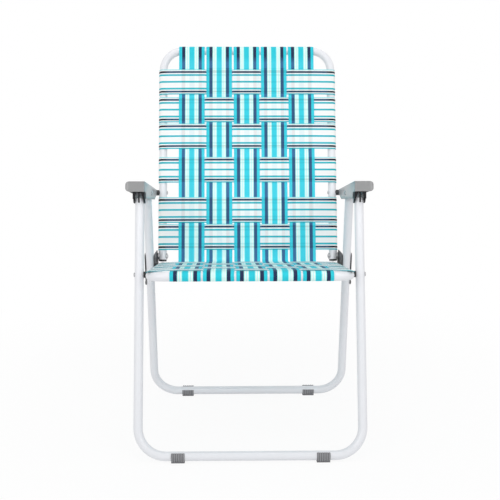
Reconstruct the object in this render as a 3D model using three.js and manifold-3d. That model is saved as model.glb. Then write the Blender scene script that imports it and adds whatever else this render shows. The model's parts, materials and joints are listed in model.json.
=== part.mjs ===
// Folding webbed lawn chair: four bent steel tube frames, moulded armrests, link brackets and woven webbing.
// Millimetres, +Z up, the sitter faces -Y. The origin lies on the floor at the middle of the footprint.
import * as THREE from 'three';
import * as BufferGeometryUtils from 'three/addons/utils/BufferGeometryUtils.js';
import Module from 'manifold-3d';

const wasm = await Module();
wasm.setup();

const deg = Math.PI / 180;

// Driving dimensions shared by the frames
const tubeRadius = 10;
const tubeWall = 1.2;
const runningGap = 0.3; // between pieces that seat on each other
const sideGap = 0.5; // from a leg tube to the armrest walls
const cutOverrun = 4; // how far a cutting body passes through its work
const lean = 16.5 * deg; // of the back and of the front legs, from vertical
const floorBarHeight = 13; // centre of both floor bars above the floor
const legHalfSpan = 240.5; // centre plane to the centre of a leg tube
const legBendRadius = 60;
const frontPivotHeight = 385; // seat on front legs
const pivotLink = 162; // seat pivot to arm pivot, the same on front legs and back
const backPivotY = 420;
const backPivotZ = 364.5;
const rearBarY = 410;
const legTopRadius = 10.6; // leg tube's rounded top, about its arm pivot

// Back frame
const backInset = 25.5; // leg tube to back tube, centre to centre
const backHalfSpan = legHalfSpan - backInset;
const backBendRadius = 50;
const backTopReach = 532; // back pivot to the centre of the top tube
const backTailLength = 9; // tube below the back pivot

// Seat frame
const seatSlope = 8.5 * deg;
const seatFrontY = 46.6;
const seatFrontZ = 394.5;
const seatFrontInset = 27.5; // leg tube to seat rail, centre to centre
const seatRearInset = 24.5;
const seatFrontHalfSpan = legHalfSpan - seatFrontInset;
const seatRearHalfSpan = legHalfSpan - seatRearInset;
const seatRailLength = 388;
const seatBendRadius = 32;

// Pivot pins
const pinRadius = 3;
const pinHoleClearance = 0.4;
const pinHeadRadius = 5;
const pinHeadHeight = 2.2;
const pinFlatHeight = 0.9; // low heads on the armrest's inner side
const washerRadius = 8;
const washerThickness = 1.4;
const saddleRim = 4; // how far a saddle washer's rim reaches round the tube
const bushRadius = 7;

// Armrest
const armSlope = 10.4 * deg;
const armFrontY = 141;
const armFrontZ = 585.3;
const armLength = 346;
const armInnerReach = 12.4; // leg tube's centre to the inner side
const armOuterReach = 29.4;
const armRearInnerReach = 4.5;
const armRearOuterReach = 23.5;
const armInnerX = legHalfSpan - armInnerReach;
const armOuterX = legHalfSpan + armOuterReach;
const armRearInnerX = legHalfSpan - armRearInnerReach;
const armRearOuterX = legHalfSpan + armRearOuterReach;
const armRearDepth = 12;
const armJogStart = 296;
const armJogEnd = 308;
const armTaperStart = 240;
const armWall = 2;
const armTopWall = 2.5;
const armFaceDepth = 22.5; // height of the front face and of the outer side
const armSkirtFront = 36.5;
const armSkirtMiddle = 27;
const armSkirtMiddleReach = 243;
const armSkirtNotch = 31.5; // the skirt starts this far back, behind the stop bracket
const armSkirtNotchRake = 5;
const armEdgeRadius = 9.5;
const armInnerEdgeRadius = 3;
const armRearRadius = 12;
const rearLegArmReach = 148; // back's arm pivot to the rear leg's arm pivot, along the arm link
const rearLegArmRise = 9; // above that line

// Link bracket between rear leg and back
const bracketPlate = 1.5;
const bracketLegPivotZ = 311;
const bracketTopZ = 386;
const bracketFrontReach = 6; // plate in front of the leg's axis
const bracketPivotRadius = 10;
const bracketLegRadius = 9;
const bracketTabRadius = 6; // outer plate round the leg pivot
const bracketInnerBottomZ = 323;
const bracketOuterRearReach = 22;
const bracketWebBottom = 30; // above the leg pivot, along the leg
const bracketWebTop = 66;
const bracketHeadRadius = 5;
const bracketHeadHeight = 1.4;

// Seat hinge plate
const earPlate = 1.5;
const earPivotRadius = 9;
const earRivetReach = [-4, 13]; // from the pivot forward along the rail
const earRivetMargin = 7;
const earRivetRadius = 2.4;
const earRivetDepth = 6; // into the rail

// Front stop bracket under the armrest
const stopPlate = 1.8;
const stopTabHeight = 14;
const stopEarTop = 8;
const stopEarFoot = 3;
const stopEarDrop = 15.5;
const stopOuterReach = 13.5; // leg tube's centre to the outer ear
const stopOuterX = legHalfSpan + stopOuterReach;
const stopTongueWidth = 3.6;
const stopTongueDrop = 23.5;
const stopCheek = 1.7; // side plates that carry the front leg's pin
const stopCheekRadius = 5.4;
const stopCheekReach = 30.5;

// Feet
const footInset = 85.5; // leg tube's centre to a foot's middle
const footHalfSpacing = legHalfSpan - footInset;
const footLength = 28.5;
const footWall = 2.7;
const footOpening = 80 * deg;
const footOpeningTurn = 40 * deg; // of the opening's middle above the inward direction
const footPadWidth = 15;
const footPadHeight = 2.5;

// Tube plugs
const plugRim = 3.6;
const plugStem = 5;
const plugCrownShare = 0.8; // of the tube's radius, flat on the plug's crown
const plugFit = 0.5;

// Webbing
const longStraps = 5;
const webSideReach = 40; // back tube's centre to the edge of the outermost long strap, half a gap beyond it
const webPitch = (2 * (backHalfSpan - webSideReach)) / longStraps;
const webGap = 4.5; // between neighbouring long straps
const longWidth = webPitch - webGap;
const seatRowWidth = 65.5;
const webThickness = 1.2;
const webLayerStep = 1.6; // between the two layers of the weave
const weaveMargin = 0.5; // of a flat crossing beyond the strap it crosses
const webSeatGap = 0.35; // webbing to tube
const weaveRise = 11.6; // middle of the weave above the tube axes
const upperRowShares = [0.7703, 0.5743, 0.3878, 0.1541]; // cross straps, from the arm pivot to the top tube
const upperRowWidthShare = 0.177; // of the same reach
const lowerRowShares = [0.716, 0.2932]; // cross straps, from the back pivot to the arm pivot
const lowerRowWidthShare = 0.4043; // of the same reach
const upperReach = backTopReach - pivotLink;
const seatRowReach = [36, 106, 175.5, 245, 314.5]; // front bar to the middle of each cross strap
const backStrapShift = -2;
const seatStrapShift = 3;
const backStrapStart = 8; // back pivot to the end of the long straps
const seatStrapEnd = 357; // front bar to the end of the long straps
const wrapTurn = 150 * deg; // of a strap round its tube
const cornerWrapTurn = 40 * deg; // of the first seat strap, which ends over the front pivot

const tubeSides = 16;
const boreSides = 16;
const bendSteps = 6;
const roundSides = 16;
const wrapSteps = 7;
const sharpestMitre = 0.5; // cosine of half the turn at a strap's sharpest corner
const weldReach = 1e-4; // points nearer than this are one

const frameWhite = paint(0xebecf0, 0.38, 0.1);
const armGrey = paint(0x8f9192, 0.6, 0);
const bracketBlack = paint(0x2c2d33, 0.5, 0.4);
const plasticBlack = paint(0x1b1c20, 0.55, 0);
const footGrey = paint(0x6d6f72, 0.65, 0);
const pinSteel = paint(0xa9abad, 0.35, 0.9);
const webLong = paint(0x18bcd4, 0.8, 0);
const webCross = paint(0xf0f4ee, 0.8, 0);

function paint(color, roughness, metalness) {
  return new THREE.MeshStandardMaterial({ color, roughness, metalness });
}

// Places of the pivots in the side plane, as (y, z)
const along = new THREE.Vector2(Math.sin(lean), Math.cos(lean));
const backNormal = new THREE.Vector2(Math.cos(lean), -Math.sin(lean));
const frontBar = new THREE.Vector2(0, floorBarHeight);
const rearBar = new THREE.Vector2(rearBarY, floorBarHeight);
const seatFrontPivot = frontBar.clone().addScaledVector(along, (frontPivotHeight - floorBarHeight) / along.y);
const armFrontPivot = seatFrontPivot.clone().addScaledVector(along, pivotLink);
const backPivot = new THREE.Vector2(backPivotY, backPivotZ);
const armRearPivot = backPivot.clone().addScaledVector(along, pivotLink);
const armLink = armFrontPivot.clone().sub(armRearPivot).normalize();
const armLinkUp = new THREE.Vector2(armLink.y, -armLink.x);
const rearLegPivot = armRearPivot.clone()
  .addScaledVector(armLink, rearLegArmReach)
  .addScaledVector(armLinkUp, rearLegArmRise);
const rearLegDown = rearBar.clone().sub(rearLegPivot).normalize();
const rearLegBack = new THREE.Vector2(-rearLegDown.y, rearLegDown.x);
const bracketLegPivot = onRearLeg(bracketLegPivotZ);

function onRearLeg(z) {
  return rearLegPivot.clone().addScaledVector(rearLegDown, (z - rearLegPivot.y) / rearLegDown.y);
}

// Solids and meshes
function solidOf(geometry) {
  const bare = geometry.clone();
  bare.deleteAttribute('normal');
  bare.deleteAttribute('uv');
  const merged = BufferGeometryUtils.mergeVertices(bare, weldReach);
  const triVerts = Uint32Array.from(merged.index.array);
  const vertProperties = merged.attributes.position.array;
  return new wasm.Manifold(new wasm.Mesh({ numProp: 3, vertProperties, triVerts }));
}

function geometryOf(solid) {
  const mesh = solid.getMesh();
  const geometry = new THREE.BufferGeometry();
  geometry.setAttribute('position', new THREE.BufferAttribute(new Float32Array(mesh.vertProperties), 3));
  geometry.setIndex(new THREE.BufferAttribute(new Uint32Array(mesh.triVerts), 1));
  return geometry;
}

function cut(geometry, ...tools) {
  return geometryOf(tools.reduce((solid, tool) => solid.subtract(solidOf(tool)), solidOf(geometry)));
}

function join(...parts) {
  return geometryOf(parts.slice(1).reduce((solid, part) => solid.add(solidOf(part)), solidOf(parts[0])));
}

function common(...parts) {
  return geometryOf(parts.slice(1).reduce((solid, part) => solid.intersect(solidOf(part)), solidOf(parts[0])));
}

function mirrored(geometry) {
  const copy = geometry.index ? geometry.toNonIndexed() : geometry.clone();
  copy.deleteAttribute('normal');
  copy.deleteAttribute('uv');
  copy.scale(-1, 1, 1);
  const place = copy.attributes.position;
  for (let i = 0; i < place.count; i += 3) {
    const a = new THREE.Vector3().fromBufferAttribute(place, i);
    const b = new THREE.Vector3().fromBufferAttribute(place, i + 1);
    place.setXYZ(i, b.x, b.y, b.z);
    place.setXYZ(i + 1, a.x, a.y, a.z);
  }
  return BufferGeometryUtils.mergeVertices(copy, weldReach);
}

// A profile in the side plane, given as (y, z), swept along X
function sidePrism(outline, x0, x1) {
  const shape = outline instanceof THREE.Shape ? outline : new THREE.Shape(outline);
  const sweep = { depth: x1 - x0, bevelEnabled: false, curveSegments: bendSteps };
  const geometry = new THREE.ExtrudeGeometry(shape, sweep);
  const turn = new THREE.Matrix4().makeBasis(
    new THREE.Vector3(0, 1, 0),
    new THREE.Vector3(0, 0, 1),
    new THREE.Vector3(1, 0, 0),
  );
  return geometry.applyMatrix4(turn).translate(x0, 0, 0);
}

// A profile seen from the front, given as (x, z), swept along Y
function frontPrism(outline, y0, y1) {
  const shape = outline instanceof THREE.Shape ? outline : new THREE.Shape(outline);
  const sweep = { depth: y1 - y0, bevelEnabled: false, curveSegments: bendSteps };
  const geometry = new THREE.ExtrudeGeometry(shape, sweep);
  return geometry.rotateX(Math.PI / 2).translate(0, y1, 0);
}

// A profile seen from above, given as (x, y), swept along Z
function planPrism(outline, z0, z1) {
  const shape = outline instanceof THREE.Shape ? outline : new THREE.Shape(outline);
  return new THREE.ExtrudeGeometry(shape, { depth: z1 - z0, bevelEnabled: false, curveSegments: bendSteps })
    .translate(0, 0, z0);
}

function rodX(radius, x0, x1, y, z, sides = roundSides) {
  return new THREE.CylinderGeometry(radius, radius, x1 - x0, sides)
    .rotateZ(-Math.PI / 2)
    .translate((x0 + x1) / 2, y, z);
}

// A rounded outline through the given corners, each with its own corner radius
function roundedShape(corners) {
  const shape = new THREE.Shape();
  const count = corners.length;
  corners.forEach(([x, y, radius], i) => {
    const here = new THREE.Vector2(x, y);
    const before = new THREE.Vector2(...corners[(i + count - 1) % count].slice(0, 2)).sub(here);
    const after = new THREE.Vector2(...corners[(i + 1) % count].slice(0, 2)).sub(here);
    const cosine = before.clone().normalize().dot(after.clone().normalize());
    const half = Math.acos(THREE.MathUtils.clamp(cosine, -1, 1)) / 2;
    const back = radius > 0 ? Math.min(radius / Math.tan(half), before.length() / 2, after.length() / 2) : 0;
    const start = here.clone().addScaledVector(before.clone().normalize(), back);
    const end = here.clone().addScaledVector(after.clone().normalize(), back);
    if (i === 0) shape.moveTo(start.x, start.y);
    else shape.lineTo(start.x, start.y);
    if (back > 0) shape.quadraticCurveTo(here.x, here.y, end.x, end.y);
  });
  shape.closePath();
  return shape;
}

// A bent tube follows stations: one at each end of a straight run, and a few round each bend
class StationPath extends THREE.Curve {
  constructor(points, tangents) {
    super();
    this.points = points;
    this.tangents = tangents;
  }

  getPointAt(u) {
    return this.points[Math.round(u * (this.points.length - 1))].clone();
  }

  getTangentAt(u) {
    return this.tangents[Math.round(u * (this.points.length - 1))].clone();
  }
}

function bentPath(corners, radius) {
  const points = [];
  const tangents = [];
  corners.forEach((corner, i) => {
    const arrive = i > 0 ? corner.clone().sub(corners[i - 1]).normalize() : null;
    const leave = i < corners.length - 1 ? corners[i + 1].clone().sub(corner).normalize() : null;
    if (!arrive || !leave) {
      points.push(corner.clone());
      tangents.push(arrive || leave);
      return;
    }
    const turn = arrive.angleTo(leave);
    const setback = radius * Math.tan(turn / 2);
    const axis = arrive.clone().cross(leave).normalize();
    const start = corner.clone().addScaledVector(arrive, -setback);
    const inward = axis.clone().cross(arrive).normalize();
    const centre = start.clone().addScaledVector(inward, radius);
    for (let k = 0; k <= bendSteps; k += 1) {
      const angle = (turn * k) / bendSteps;
      points.push(centre.clone().add(inward.clone().multiplyScalar(-radius).applyAxisAngle(axis, angle)));
      tangents.push(arrive.clone().applyAxisAngle(axis, angle));
    }
  });
  return new StationPath(points, tangents);
}

function tubeAlong(corners, bendRadius) {
  const path = bentPath(corners, bendRadius);
  const ring = new THREE.Shape(circlePoints(tubeRadius, tubeSides));
  ring.holes.push(new THREE.Path(circlePoints(tubeRadius - tubeWall, boreSides)));
  const sweep = { steps: path.points.length - 1, extrudePath: path, bevelEnabled: false };
  return new THREE.ExtrudeGeometry(ring, sweep);
}

function circlePoints(radius, sides) {
  return Array.from({ length: sides }, (_, i) => {
    const angle = (2 * Math.PI * (i + 0.5)) / sides;
    return new THREE.Vector2(radius * Math.cos(angle), radius * Math.sin(angle));
  });
}

function pinHole(x, place) {
  const half = tubeRadius + cutOverrun;
  return rodX(pinRadius + pinHoleClearance, x - half, x + half, place.x, place.y);
}

// Floor and arm pivots are holes through both side tubes of a U-shaped frame
function drilledFrame(tube, halfSpans, places) {
  const holes = places.flatMap((place, i) => [pinHole(halfSpans[i], place), pinHole(-halfSpans[i], place)]);
  return cut(tube, ...holes);
}

function legFrame(pivot, bar, drilled) {
  const up = pivot.clone().sub(bar).normalize();
  const side = new THREE.Vector2(up.y, -up.x);
  const top = pivot.clone().addScaledVector(up, legTopRadius);
  const corners = [
    new THREE.Vector3(-legHalfSpan, top.x, top.y),
    new THREE.Vector3(-legHalfSpan, bar.x, bar.y),
    new THREE.Vector3(legHalfSpan, bar.x, bar.y),
    new THREE.Vector3(legHalfSpan, top.x, top.y),
  ];
  const drilledTube = drilledFrame(tubeAlong(corners, legBendRadius), drilled.map(() => legHalfSpan), drilled);
  const reach = legTopRadius + cutOverrun;
  const span = legHalfSpan + reach;
  const over = span + cutOverrun;
  const above = [
    pivot.clone().addScaledVector(side, -reach),
    pivot.clone().addScaledVector(side, reach),
    pivot.clone().addScaledVector(side, reach).addScaledVector(up, reach),
    pivot.clone().addScaledVector(side, -reach).addScaledVector(up, reach),
  ];
  const round = rodX(legTopRadius, -over, over, pivot.x, pivot.y, tubeSides * 2);
  const shoulders = cut(sidePrism(above, -span, span), round);
  return cut(drilledTube, shoulders);
}

function backFrame() {
  const foot = backPivot.clone().addScaledVector(along, -backTailLength);
  const top = backPivot.clone().addScaledVector(along, backTopReach);
  const corners = [
    new THREE.Vector3(-backHalfSpan, foot.x, foot.y),
    new THREE.Vector3(-backHalfSpan, top.x, top.y),
    new THREE.Vector3(backHalfSpan, top.x, top.y),
    new THREE.Vector3(backHalfSpan, foot.x, foot.y),
  ];
  return drilledFrame(tubeAlong(corners, backBendRadius), [backHalfSpan, backHalfSpan], [backPivot, armRearPivot]);
}

const seatAlong = new THREE.Vector2(Math.cos(seatSlope), -Math.sin(seatSlope));
const seatUp = new THREE.Vector2(Math.sin(seatSlope), Math.cos(seatSlope));
const seatFront = new THREE.Vector2(seatFrontY, seatFrontZ);

function onSeat(reach, rise = 0) {
  return seatFront.clone().addScaledVector(seatAlong, reach).addScaledVector(seatUp, rise);
}

function seatHalfSpan(reach) {
  return seatFrontHalfSpan + ((seatRearHalfSpan - seatFrontHalfSpan) * reach) / seatRailLength;
}

function seatReachOf(place) {
  return place.clone().sub(seatFront).dot(seatAlong);
}

function seatFrame() {
  const rear = onSeat(seatRailLength);
  const corners = [
    new THREE.Vector3(-seatRearHalfSpan, rear.x, rear.y),
    new THREE.Vector3(-seatFrontHalfSpan, seatFront.x, seatFront.y),
    new THREE.Vector3(seatFrontHalfSpan, seatFront.x, seatFront.y),
    new THREE.Vector3(seatRearHalfSpan, rear.x, rear.y),
  ];
  const pivotSpan = seatHalfSpan(seatReachOf(seatFrontPivot));
  return drilledFrame(tubeAlong(corners, seatBendRadius), [pivotSpan], [seatFrontPivot]);
}

// Pins: a shank with a domed head at each end that has one
function pin(x0, x1, place, headStart, headEnd) {
  const profile = [[0, x0]];
  if (headStart) profile.push(...dome(x0, pinHeadHeight));
  else profile.push([pinRadius, x0]);
  if (headEnd) profile.push(...dome(x1, -pinHeadHeight).reverse());
  else profile.push([pinRadius, x1]);
  profile.push([0, x1]);
  return turned(profile, place);
}

// Of a pin head's radius and height, from its crown to its seat
const domeShares = [[0.55, 0], [0.9, 0.4], [1, 1]];

function dome(crown, height) {
  const rim = domeShares.map(([across, deep]) => [pinHeadRadius * across, crown + height * deep]);
  return [...rim, [pinRadius, crown + height]];
}

// A profile of (radius, x) pairs turned round a pivot axis
function turned(profile, place) {
  const points = profile.map(([radius, x]) => new THREE.Vector2(radius, x));
  const geometry = new THREE.LatheGeometry(points, roundSides);
  return geometry.rotateZ(-Math.PI / 2).translate(0, place.x, place.y);
}

// A spacer hollowed on one side to hug a tube that runs in the side plane
function saddle(radius, x0, x1, place, tubeX, tubeDirection) {
  const body = rodX(radius, x0, x1, place.x, place.y);
  const bore = rodX(pinRadius + pinHoleClearance, x0 - cutOverrun, x1 + cutOverrun, place.x, place.y);
  const reach = radius + cutOverrun;
  const hugRadius = tubeRadius + runningGap;
  const hug = new THREE.CylinderGeometry(hugRadius, hugRadius, 2 * reach, tubeSides * 2)
    .rotateX(Math.atan2(tubeDirection.y, tubeDirection.x))
    .translate(tubeX, place.x, place.y);
  return cut(body, bore, hug);
}

// Armrest, in its own frame: y runs back along the arm from its front face, z is up from its top surface
const armFront = new THREE.Vector2(armFrontY, armFrontZ);
const armAlong = new THREE.Vector2(Math.cos(armSlope), -Math.sin(armSlope));
const armUp = new THREE.Vector2(Math.sin(armSlope), Math.cos(armSlope));

function inArm(place) {
  const offset = place.clone().sub(armFront);
  return new THREE.Vector2(offset.dot(armAlong), offset.dot(armUp));
}

const channelInnerX = armInnerX + armWall;
const channelOuterX = legHalfSpan + tubeRadius + sideGap;
const midWallOuterX = channelOuterX + armWall;

function armPlan(inset) {
  const rearInset = Math.min(inset, armWall);
  return roundedShape([
    [armInnerX + inset, inset, armInnerEdgeRadius],
    [armOuterX - inset, inset, armEdgeRadius],
    [armOuterX - inset, armTaperStart, armRearRadius],
    [armRearOuterX - inset, armLength - rearInset, armRearRadius],
    [armRearInnerX + inset, armLength - rearInset, armRearRadius],
    [armRearInnerX + inset, armJogEnd, 0],
    [armInnerX + inset, armJogStart, 0],
  ]);
}

function armSection(inset) {
  const bottom = inset > 0 ? -armFaceDepth - cutOverrun : -armFaceDepth;
  const top = inset > 0 ? -armTopWall : 0;
  const floorRadius = inset > 0 ? 0 : armEdgeRadius;
  return roundedShape([
    [armInnerX - cutOverrun, top, 0],
    [armOuterX - inset, top, armEdgeRadius],
    [armOuterX - inset, bottom, floorRadius],
    [armInnerX - cutOverrun, bottom, 0],
  ]);
}

// The inner skirt and the middle wall share one side profile, cut back at the front for the stop bracket
function skirtProfile() {
  const start = stopPlate + armTopWall + 2 * runningGap;
  return [
    new THREE.Vector2(start, -armTopWall),
    new THREE.Vector2(start, -armFaceDepth),
    new THREE.Vector2(armSkirtNotch, -armFaceDepth),
    new THREE.Vector2(armSkirtNotch + armSkirtNotchRake, -armSkirtFront),
    new THREE.Vector2(armSkirtMiddleReach, -armSkirtMiddle),
    new THREE.Vector2(armJogStart, -armRearDepth),
    new THREE.Vector2(armLength, -armRearDepth),
    new THREE.Vector2(armLength, -armTopWall),
  ];
}

// Seen from the side, the shell is shallower behind the jog, where the folded rear leg passes under it
function shellProfile() {
  return [
    new THREE.Vector2(-cutOverrun, -armFaceDepth - cutOverrun),
    new THREE.Vector2(armTaperStart, -armFaceDepth - cutOverrun),
    new THREE.Vector2(armTaperStart, -armFaceDepth),
    new THREE.Vector2(armJogStart, -armRearDepth),
    new THREE.Vector2(armLength + cutOverrun, -armRearDepth),
    new THREE.Vector2(armLength + cutOverrun, cutOverrun),
    new THREE.Vector2(-cutOverrun, cutOverrun),
  ];
}

function armrest() {
  const middlePin = inArm(rearLegPivot);
  const rearPin = inArm(armRearPivot);
  const below = -armSkirtFront - cutOverrun;
  const shell = common(
    frontPrism(armSection(0), -cutOverrun, armLength + cutOverrun),
    planPrism(armPlan(0), below, cutOverrun),
    sidePrism(shellProfile(), armInnerX - cutOverrun, armOuterX + cutOverrun),
  );
  const hollow = common(
    frontPrism(armSection(armWall), armTopWall, armLength - armWall),
    planPrism(armPlan(armWall), below, -armTopWall),
  );
  const walls = common(
    sidePrism(skirtProfile(), armInnerX - cutOverrun, midWallOuterX),
    planPrism(armPlan(0), below, 0),
  );
  const wallHollow = common(
    sidePrism(
      [
        new THREE.Vector2(-cutOverrun, below),
        new THREE.Vector2(armLength - armWall, below),
        new THREE.Vector2(armLength - armWall, -armTopWall),
        new THREE.Vector2(-cutOverrun, -armTopWall),
      ],
      channelInnerX - cutOverrun,
      channelOuterX,
    ),
    planPrism(channelPlan(), below, 0),
  );
  const holes = [middlePin, rearPin].map((place) =>
    rodX(pinRadius + pinHoleClearance, armInnerX - cutOverrun, midWallOuterX + cutOverrun, place.x, place.y),
  );
  return cut(join(cut(shell, hollow), cut(walls, wallHollow)), ...holes);
}

function channelPlan() {
  return new THREE.Shape([
    new THREE.Vector2(channelInnerX, -cutOverrun),
    new THREE.Vector2(channelOuterX, -cutOverrun),
    new THREE.Vector2(channelOuterX, armLength),
    new THREE.Vector2(armRearInnerX + armWall, armLength),
    new THREE.Vector2(armRearInnerX + armWall, armJogEnd),
    new THREE.Vector2(channelInnerX, armJogStart),
  ]);
}

// Black stop bracket: a front plate with two tapered ears and a narrow tongue, and a cheek each side of the leg
function stopBracket() {
  const face = -armFaceDepth;
  const throat = face - runningGap;
  const innerEdge = armInnerX + runningGap;
  const tabInner = channelInnerX + armInnerEdgeRadius;
  const tabOuter = channelOuterX - runningGap;
  const tongueInner = legHalfSpan - stopTongueWidth / 2;
  const tongueOuter = legHalfSpan + stopTongueWidth / 2;
  const band = throat - stopPlate;
  const outerTop = stopOuterX - stopEarTop;
  const outerFoot = stopOuterX - stopEarFoot;
  const outline = [
    [tabInner, face + stopTabHeight],
    [tabInner, throat],
    [innerEdge, throat],
    [innerEdge, face - stopEarDrop],
    [innerEdge + stopEarFoot, face - stopEarDrop],
    [innerEdge + stopEarTop, band],
    [tongueInner, band],
    [tongueInner, face - stopTongueDrop],
    [tongueOuter, face - stopTongueDrop],
    [tongueOuter, band],
    [outerTop, band],
    [outerFoot, face - stopEarDrop],
    [stopOuterX, face - stopEarDrop],
    [stopOuterX, throat],
    [tabOuter, throat],
    [tabOuter, face + stopTabHeight],
  ].map(([x, z]) => new THREE.Vector2(x, z));
  const start = armTopWall + runningGap;
  const pivot = inArm(armFrontPivot);
  const cheek = roundedShape([
    [start, throat, 0],
    [start, face - stopEarDrop, stopCheekRadius],
    [pivot.x - stopCheekRadius, pivot.y - stopCheekRadius, stopCheekRadius],
    [pivot.x + stopCheekRadius, pivot.y - stopCheekRadius, stopCheekRadius],
    [stopCheekReach, throat, 0],
  ]);
  const outerX = channelOuterX + runningGap;
  const body = join(
    frontPrism(outline, start, start + stopPlate),
    sidePrism(cheek, innerEdge, innerEdge + stopCheek),
    sidePrism(cheek, outerX, outerX + stopCheek),
  );
  const holeRadius = pinRadius + pinHoleClearance;
  const hole = rodX(holeRadius, innerEdge - cutOverrun, outerX + cutOverrun, pivot.x, pivot.y);
  return cut(body, hole);
}

// Link bracket: an inner plate up to the back's pivot, an outer plate beside the leg and a web behind it
function alongLeg(reach, offset) {
  return bracketLegPivot.clone().addScaledVector(rearLegDown, -reach).addScaledVector(rearLegBack, offset);
}

function linkBracket() {
  const innerX0 = linkPlateX();
  const innerX1 = innerX0 + bracketPlate;
  const outerX0 = legHalfSpan + tubeRadius + 2 * runningGap;
  const outerX1 = outerX0 + bracketPlate;
  const topReach = (bracketTopZ - bracketLegPivotZ) / -rearLegDown.y;
  const topFront = alongLeg(topReach, -bracketFrontReach);
  const bottomReach = (bracketInnerBottomZ - bracketLegPivotZ) / -rearLegDown.y;
  const bottomFront = alongLeg(bottomReach, -bracketFrontReach);
  const bottomRear = alongLeg(bottomReach, bracketOuterRearReach);
  const pivotTop = backPivot.y + bracketPivotRadius;
  const pivotRear = backPivot.x + bracketPivotRadius;
  const inner = roundedShape([
    [topFront.x, topFront.y, bracketLegRadius],
    [pivotRear, pivotTop + bracketPivotRadius / 2, bracketPivotRadius],
    [pivotRear, backPivot.y - bracketPivotRadius, bracketPivotRadius],
    [bottomRear.x, bottomRear.y, bracketLegRadius],
    [bottomFront.x, bottomFront.y, bracketLegRadius / 2],
  ]);
  const topRear = alongLeg(topReach - bracketLegRadius / 2, bracketOuterRearReach);
  const tabRear = alongLeg(-bracketTabRadius, bracketTabRadius);
  const tabFront = alongLeg(-bracketTabRadius, -bracketTabRadius);
  const outer = roundedShape([
    [topFront.x, topFront.y, bracketLegRadius],
    [topRear.x, topRear.y, bracketLegRadius],
    [bottomRear.x, bottomRear.y, bracketLegRadius],
    [tabRear.x, tabRear.y, bracketTabRadius],
    [tabFront.x, tabFront.y, bracketTabRadius],
  ]);
  const webNear = tubeRadius + 3 * runningGap;
  const web = [
    alongLeg(bracketWebBottom, webNear),
    alongLeg(bracketWebBottom, webNear + bracketPlate),
    alongLeg(bracketWebTop, webNear + bracketPlate),
    alongLeg(bracketWebTop, webNear),
  ];
  const holeRadius = pinRadius + pinHoleClearance;
  const hole = rodX(holeRadius, innerX0 - cutOverrun, innerX1 + cutOverrun, backPivot.x, backPivot.y);
  const head = turned(
    [
      [0, outerX1 - bracketPlate / 2],
      [bracketHeadRadius, outerX1 - bracketPlate / 2],
      [bracketHeadRadius, outerX1 + bracketHeadHeight / 2],
      [bracketHeadRadius * domeShares[0][0], outerX1 + bracketHeadHeight],
      [0, outerX1 + bracketHeadHeight],
    ],
    bracketLegPivot,
  );
  const body = join(
    sidePrism(inner, innerX0, innerX1),
    sidePrism(outer, outerX0, outerX1),
    sidePrism(web, innerX0, outerX1),
    head,
  );
  return cut(body, hole);
}

// Faces of the stacked plates at the seat pivot, outward from the back tube
function saddleFaceX() {
  return backHalfSpan + tubeRadius + washerThickness;
}

function earX() {
  return saddleFaceX() + runningGap / 2;
}

function linkPlateX() {
  return earX() + earPlate + runningGap;
}

// Seat hinge plate: joins the rail to the pivot above it, with two blind rivets set into the rail
function earRivets() {
  const reach = seatReachOf(backPivot);
  return earRivetReach.map((forward) => onSeat(reach - forward));
}

function seatHingePlate() {
  const [rearRivet, frontRivet] = earRivets();
  const side = seatUp.clone().multiplyScalar(-earRivetMargin);
  const forward = seatAlong.clone().multiplyScalar(-earRivetMargin);
  const pivotUp = seatUp.clone().multiplyScalar(earPivotRadius);
  const pivotForward = seatAlong.clone().multiplyScalar(-earPivotRadius);
  const corners = [
    backPivot.clone().add(pivotUp).add(pivotForward),
    frontRivet.clone().add(forward),
    frontRivet.clone().add(forward).add(side),
    rearRivet.clone().sub(forward).add(side),
    rearRivet.clone().sub(forward),
    backPivot.clone().add(pivotUp).sub(pivotForward),
  ];
  const radii = [earPivotRadius, 0, earRivetMargin, earRivetMargin, 0, earPivotRadius];
  const outline = roundedShape(corners.map((corner, i) => [corner.x, corner.y, radii[i]]));
  const plate = sidePrism(outline, earX(), earX() + earPlate);
  const rivets = earRivets().map((place) =>
    rodX(earRivetRadius, earX() - earRivetDepth, earX() + earPlate / 2, place.x, place.y),
  );
  const holeRadius = pinRadius + pinHoleClearance;
  const hole = rodX(holeRadius, earX() - cutOverrun, earX() + cutOverrun, backPivot.x, backPivot.y);
  return cut(join(plate, ...rivets), hole);
}

function seatFrameSolid() {
  const outer = earX();
  const inner = outer - earRivetDepth - cutOverrun;
  const bores = earRivets().flatMap((place) => {
    const bore = rodX(earRivetRadius + pinHoleClearance, inner, outer, place.x, place.y);
    return [bore, mirrored(bore)];
  });
  return cut(seatFrame(), ...bores);
}

// A plug closes the open end of a tube; the axis points out of the tube
function tubePlug(end, axis) {
  const stem = tubeRadius - tubeWall - plugFit;
  const profile = [
    [0, -plugStem],
    [stem, -plugStem],
    [stem, runningGap / 2],
    [tubeRadius, runningGap / 2],
    [tubeRadius, plugRim / 2],
    [tubeRadius * plugCrownShare, plugRim],
    [0, plugRim],
  ];
  const points = profile.map(([radius, y]) => new THREE.Vector2(radius, y));
  const turn = new THREE.Quaternion().setFromUnitVectors(new THREE.Vector3(0, 1, 0), axis.clone().normalize());
  return new THREE.LatheGeometry(points, roundSides).applyQuaternion(turn).translate(end.x, end.y, end.z);
}

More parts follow.
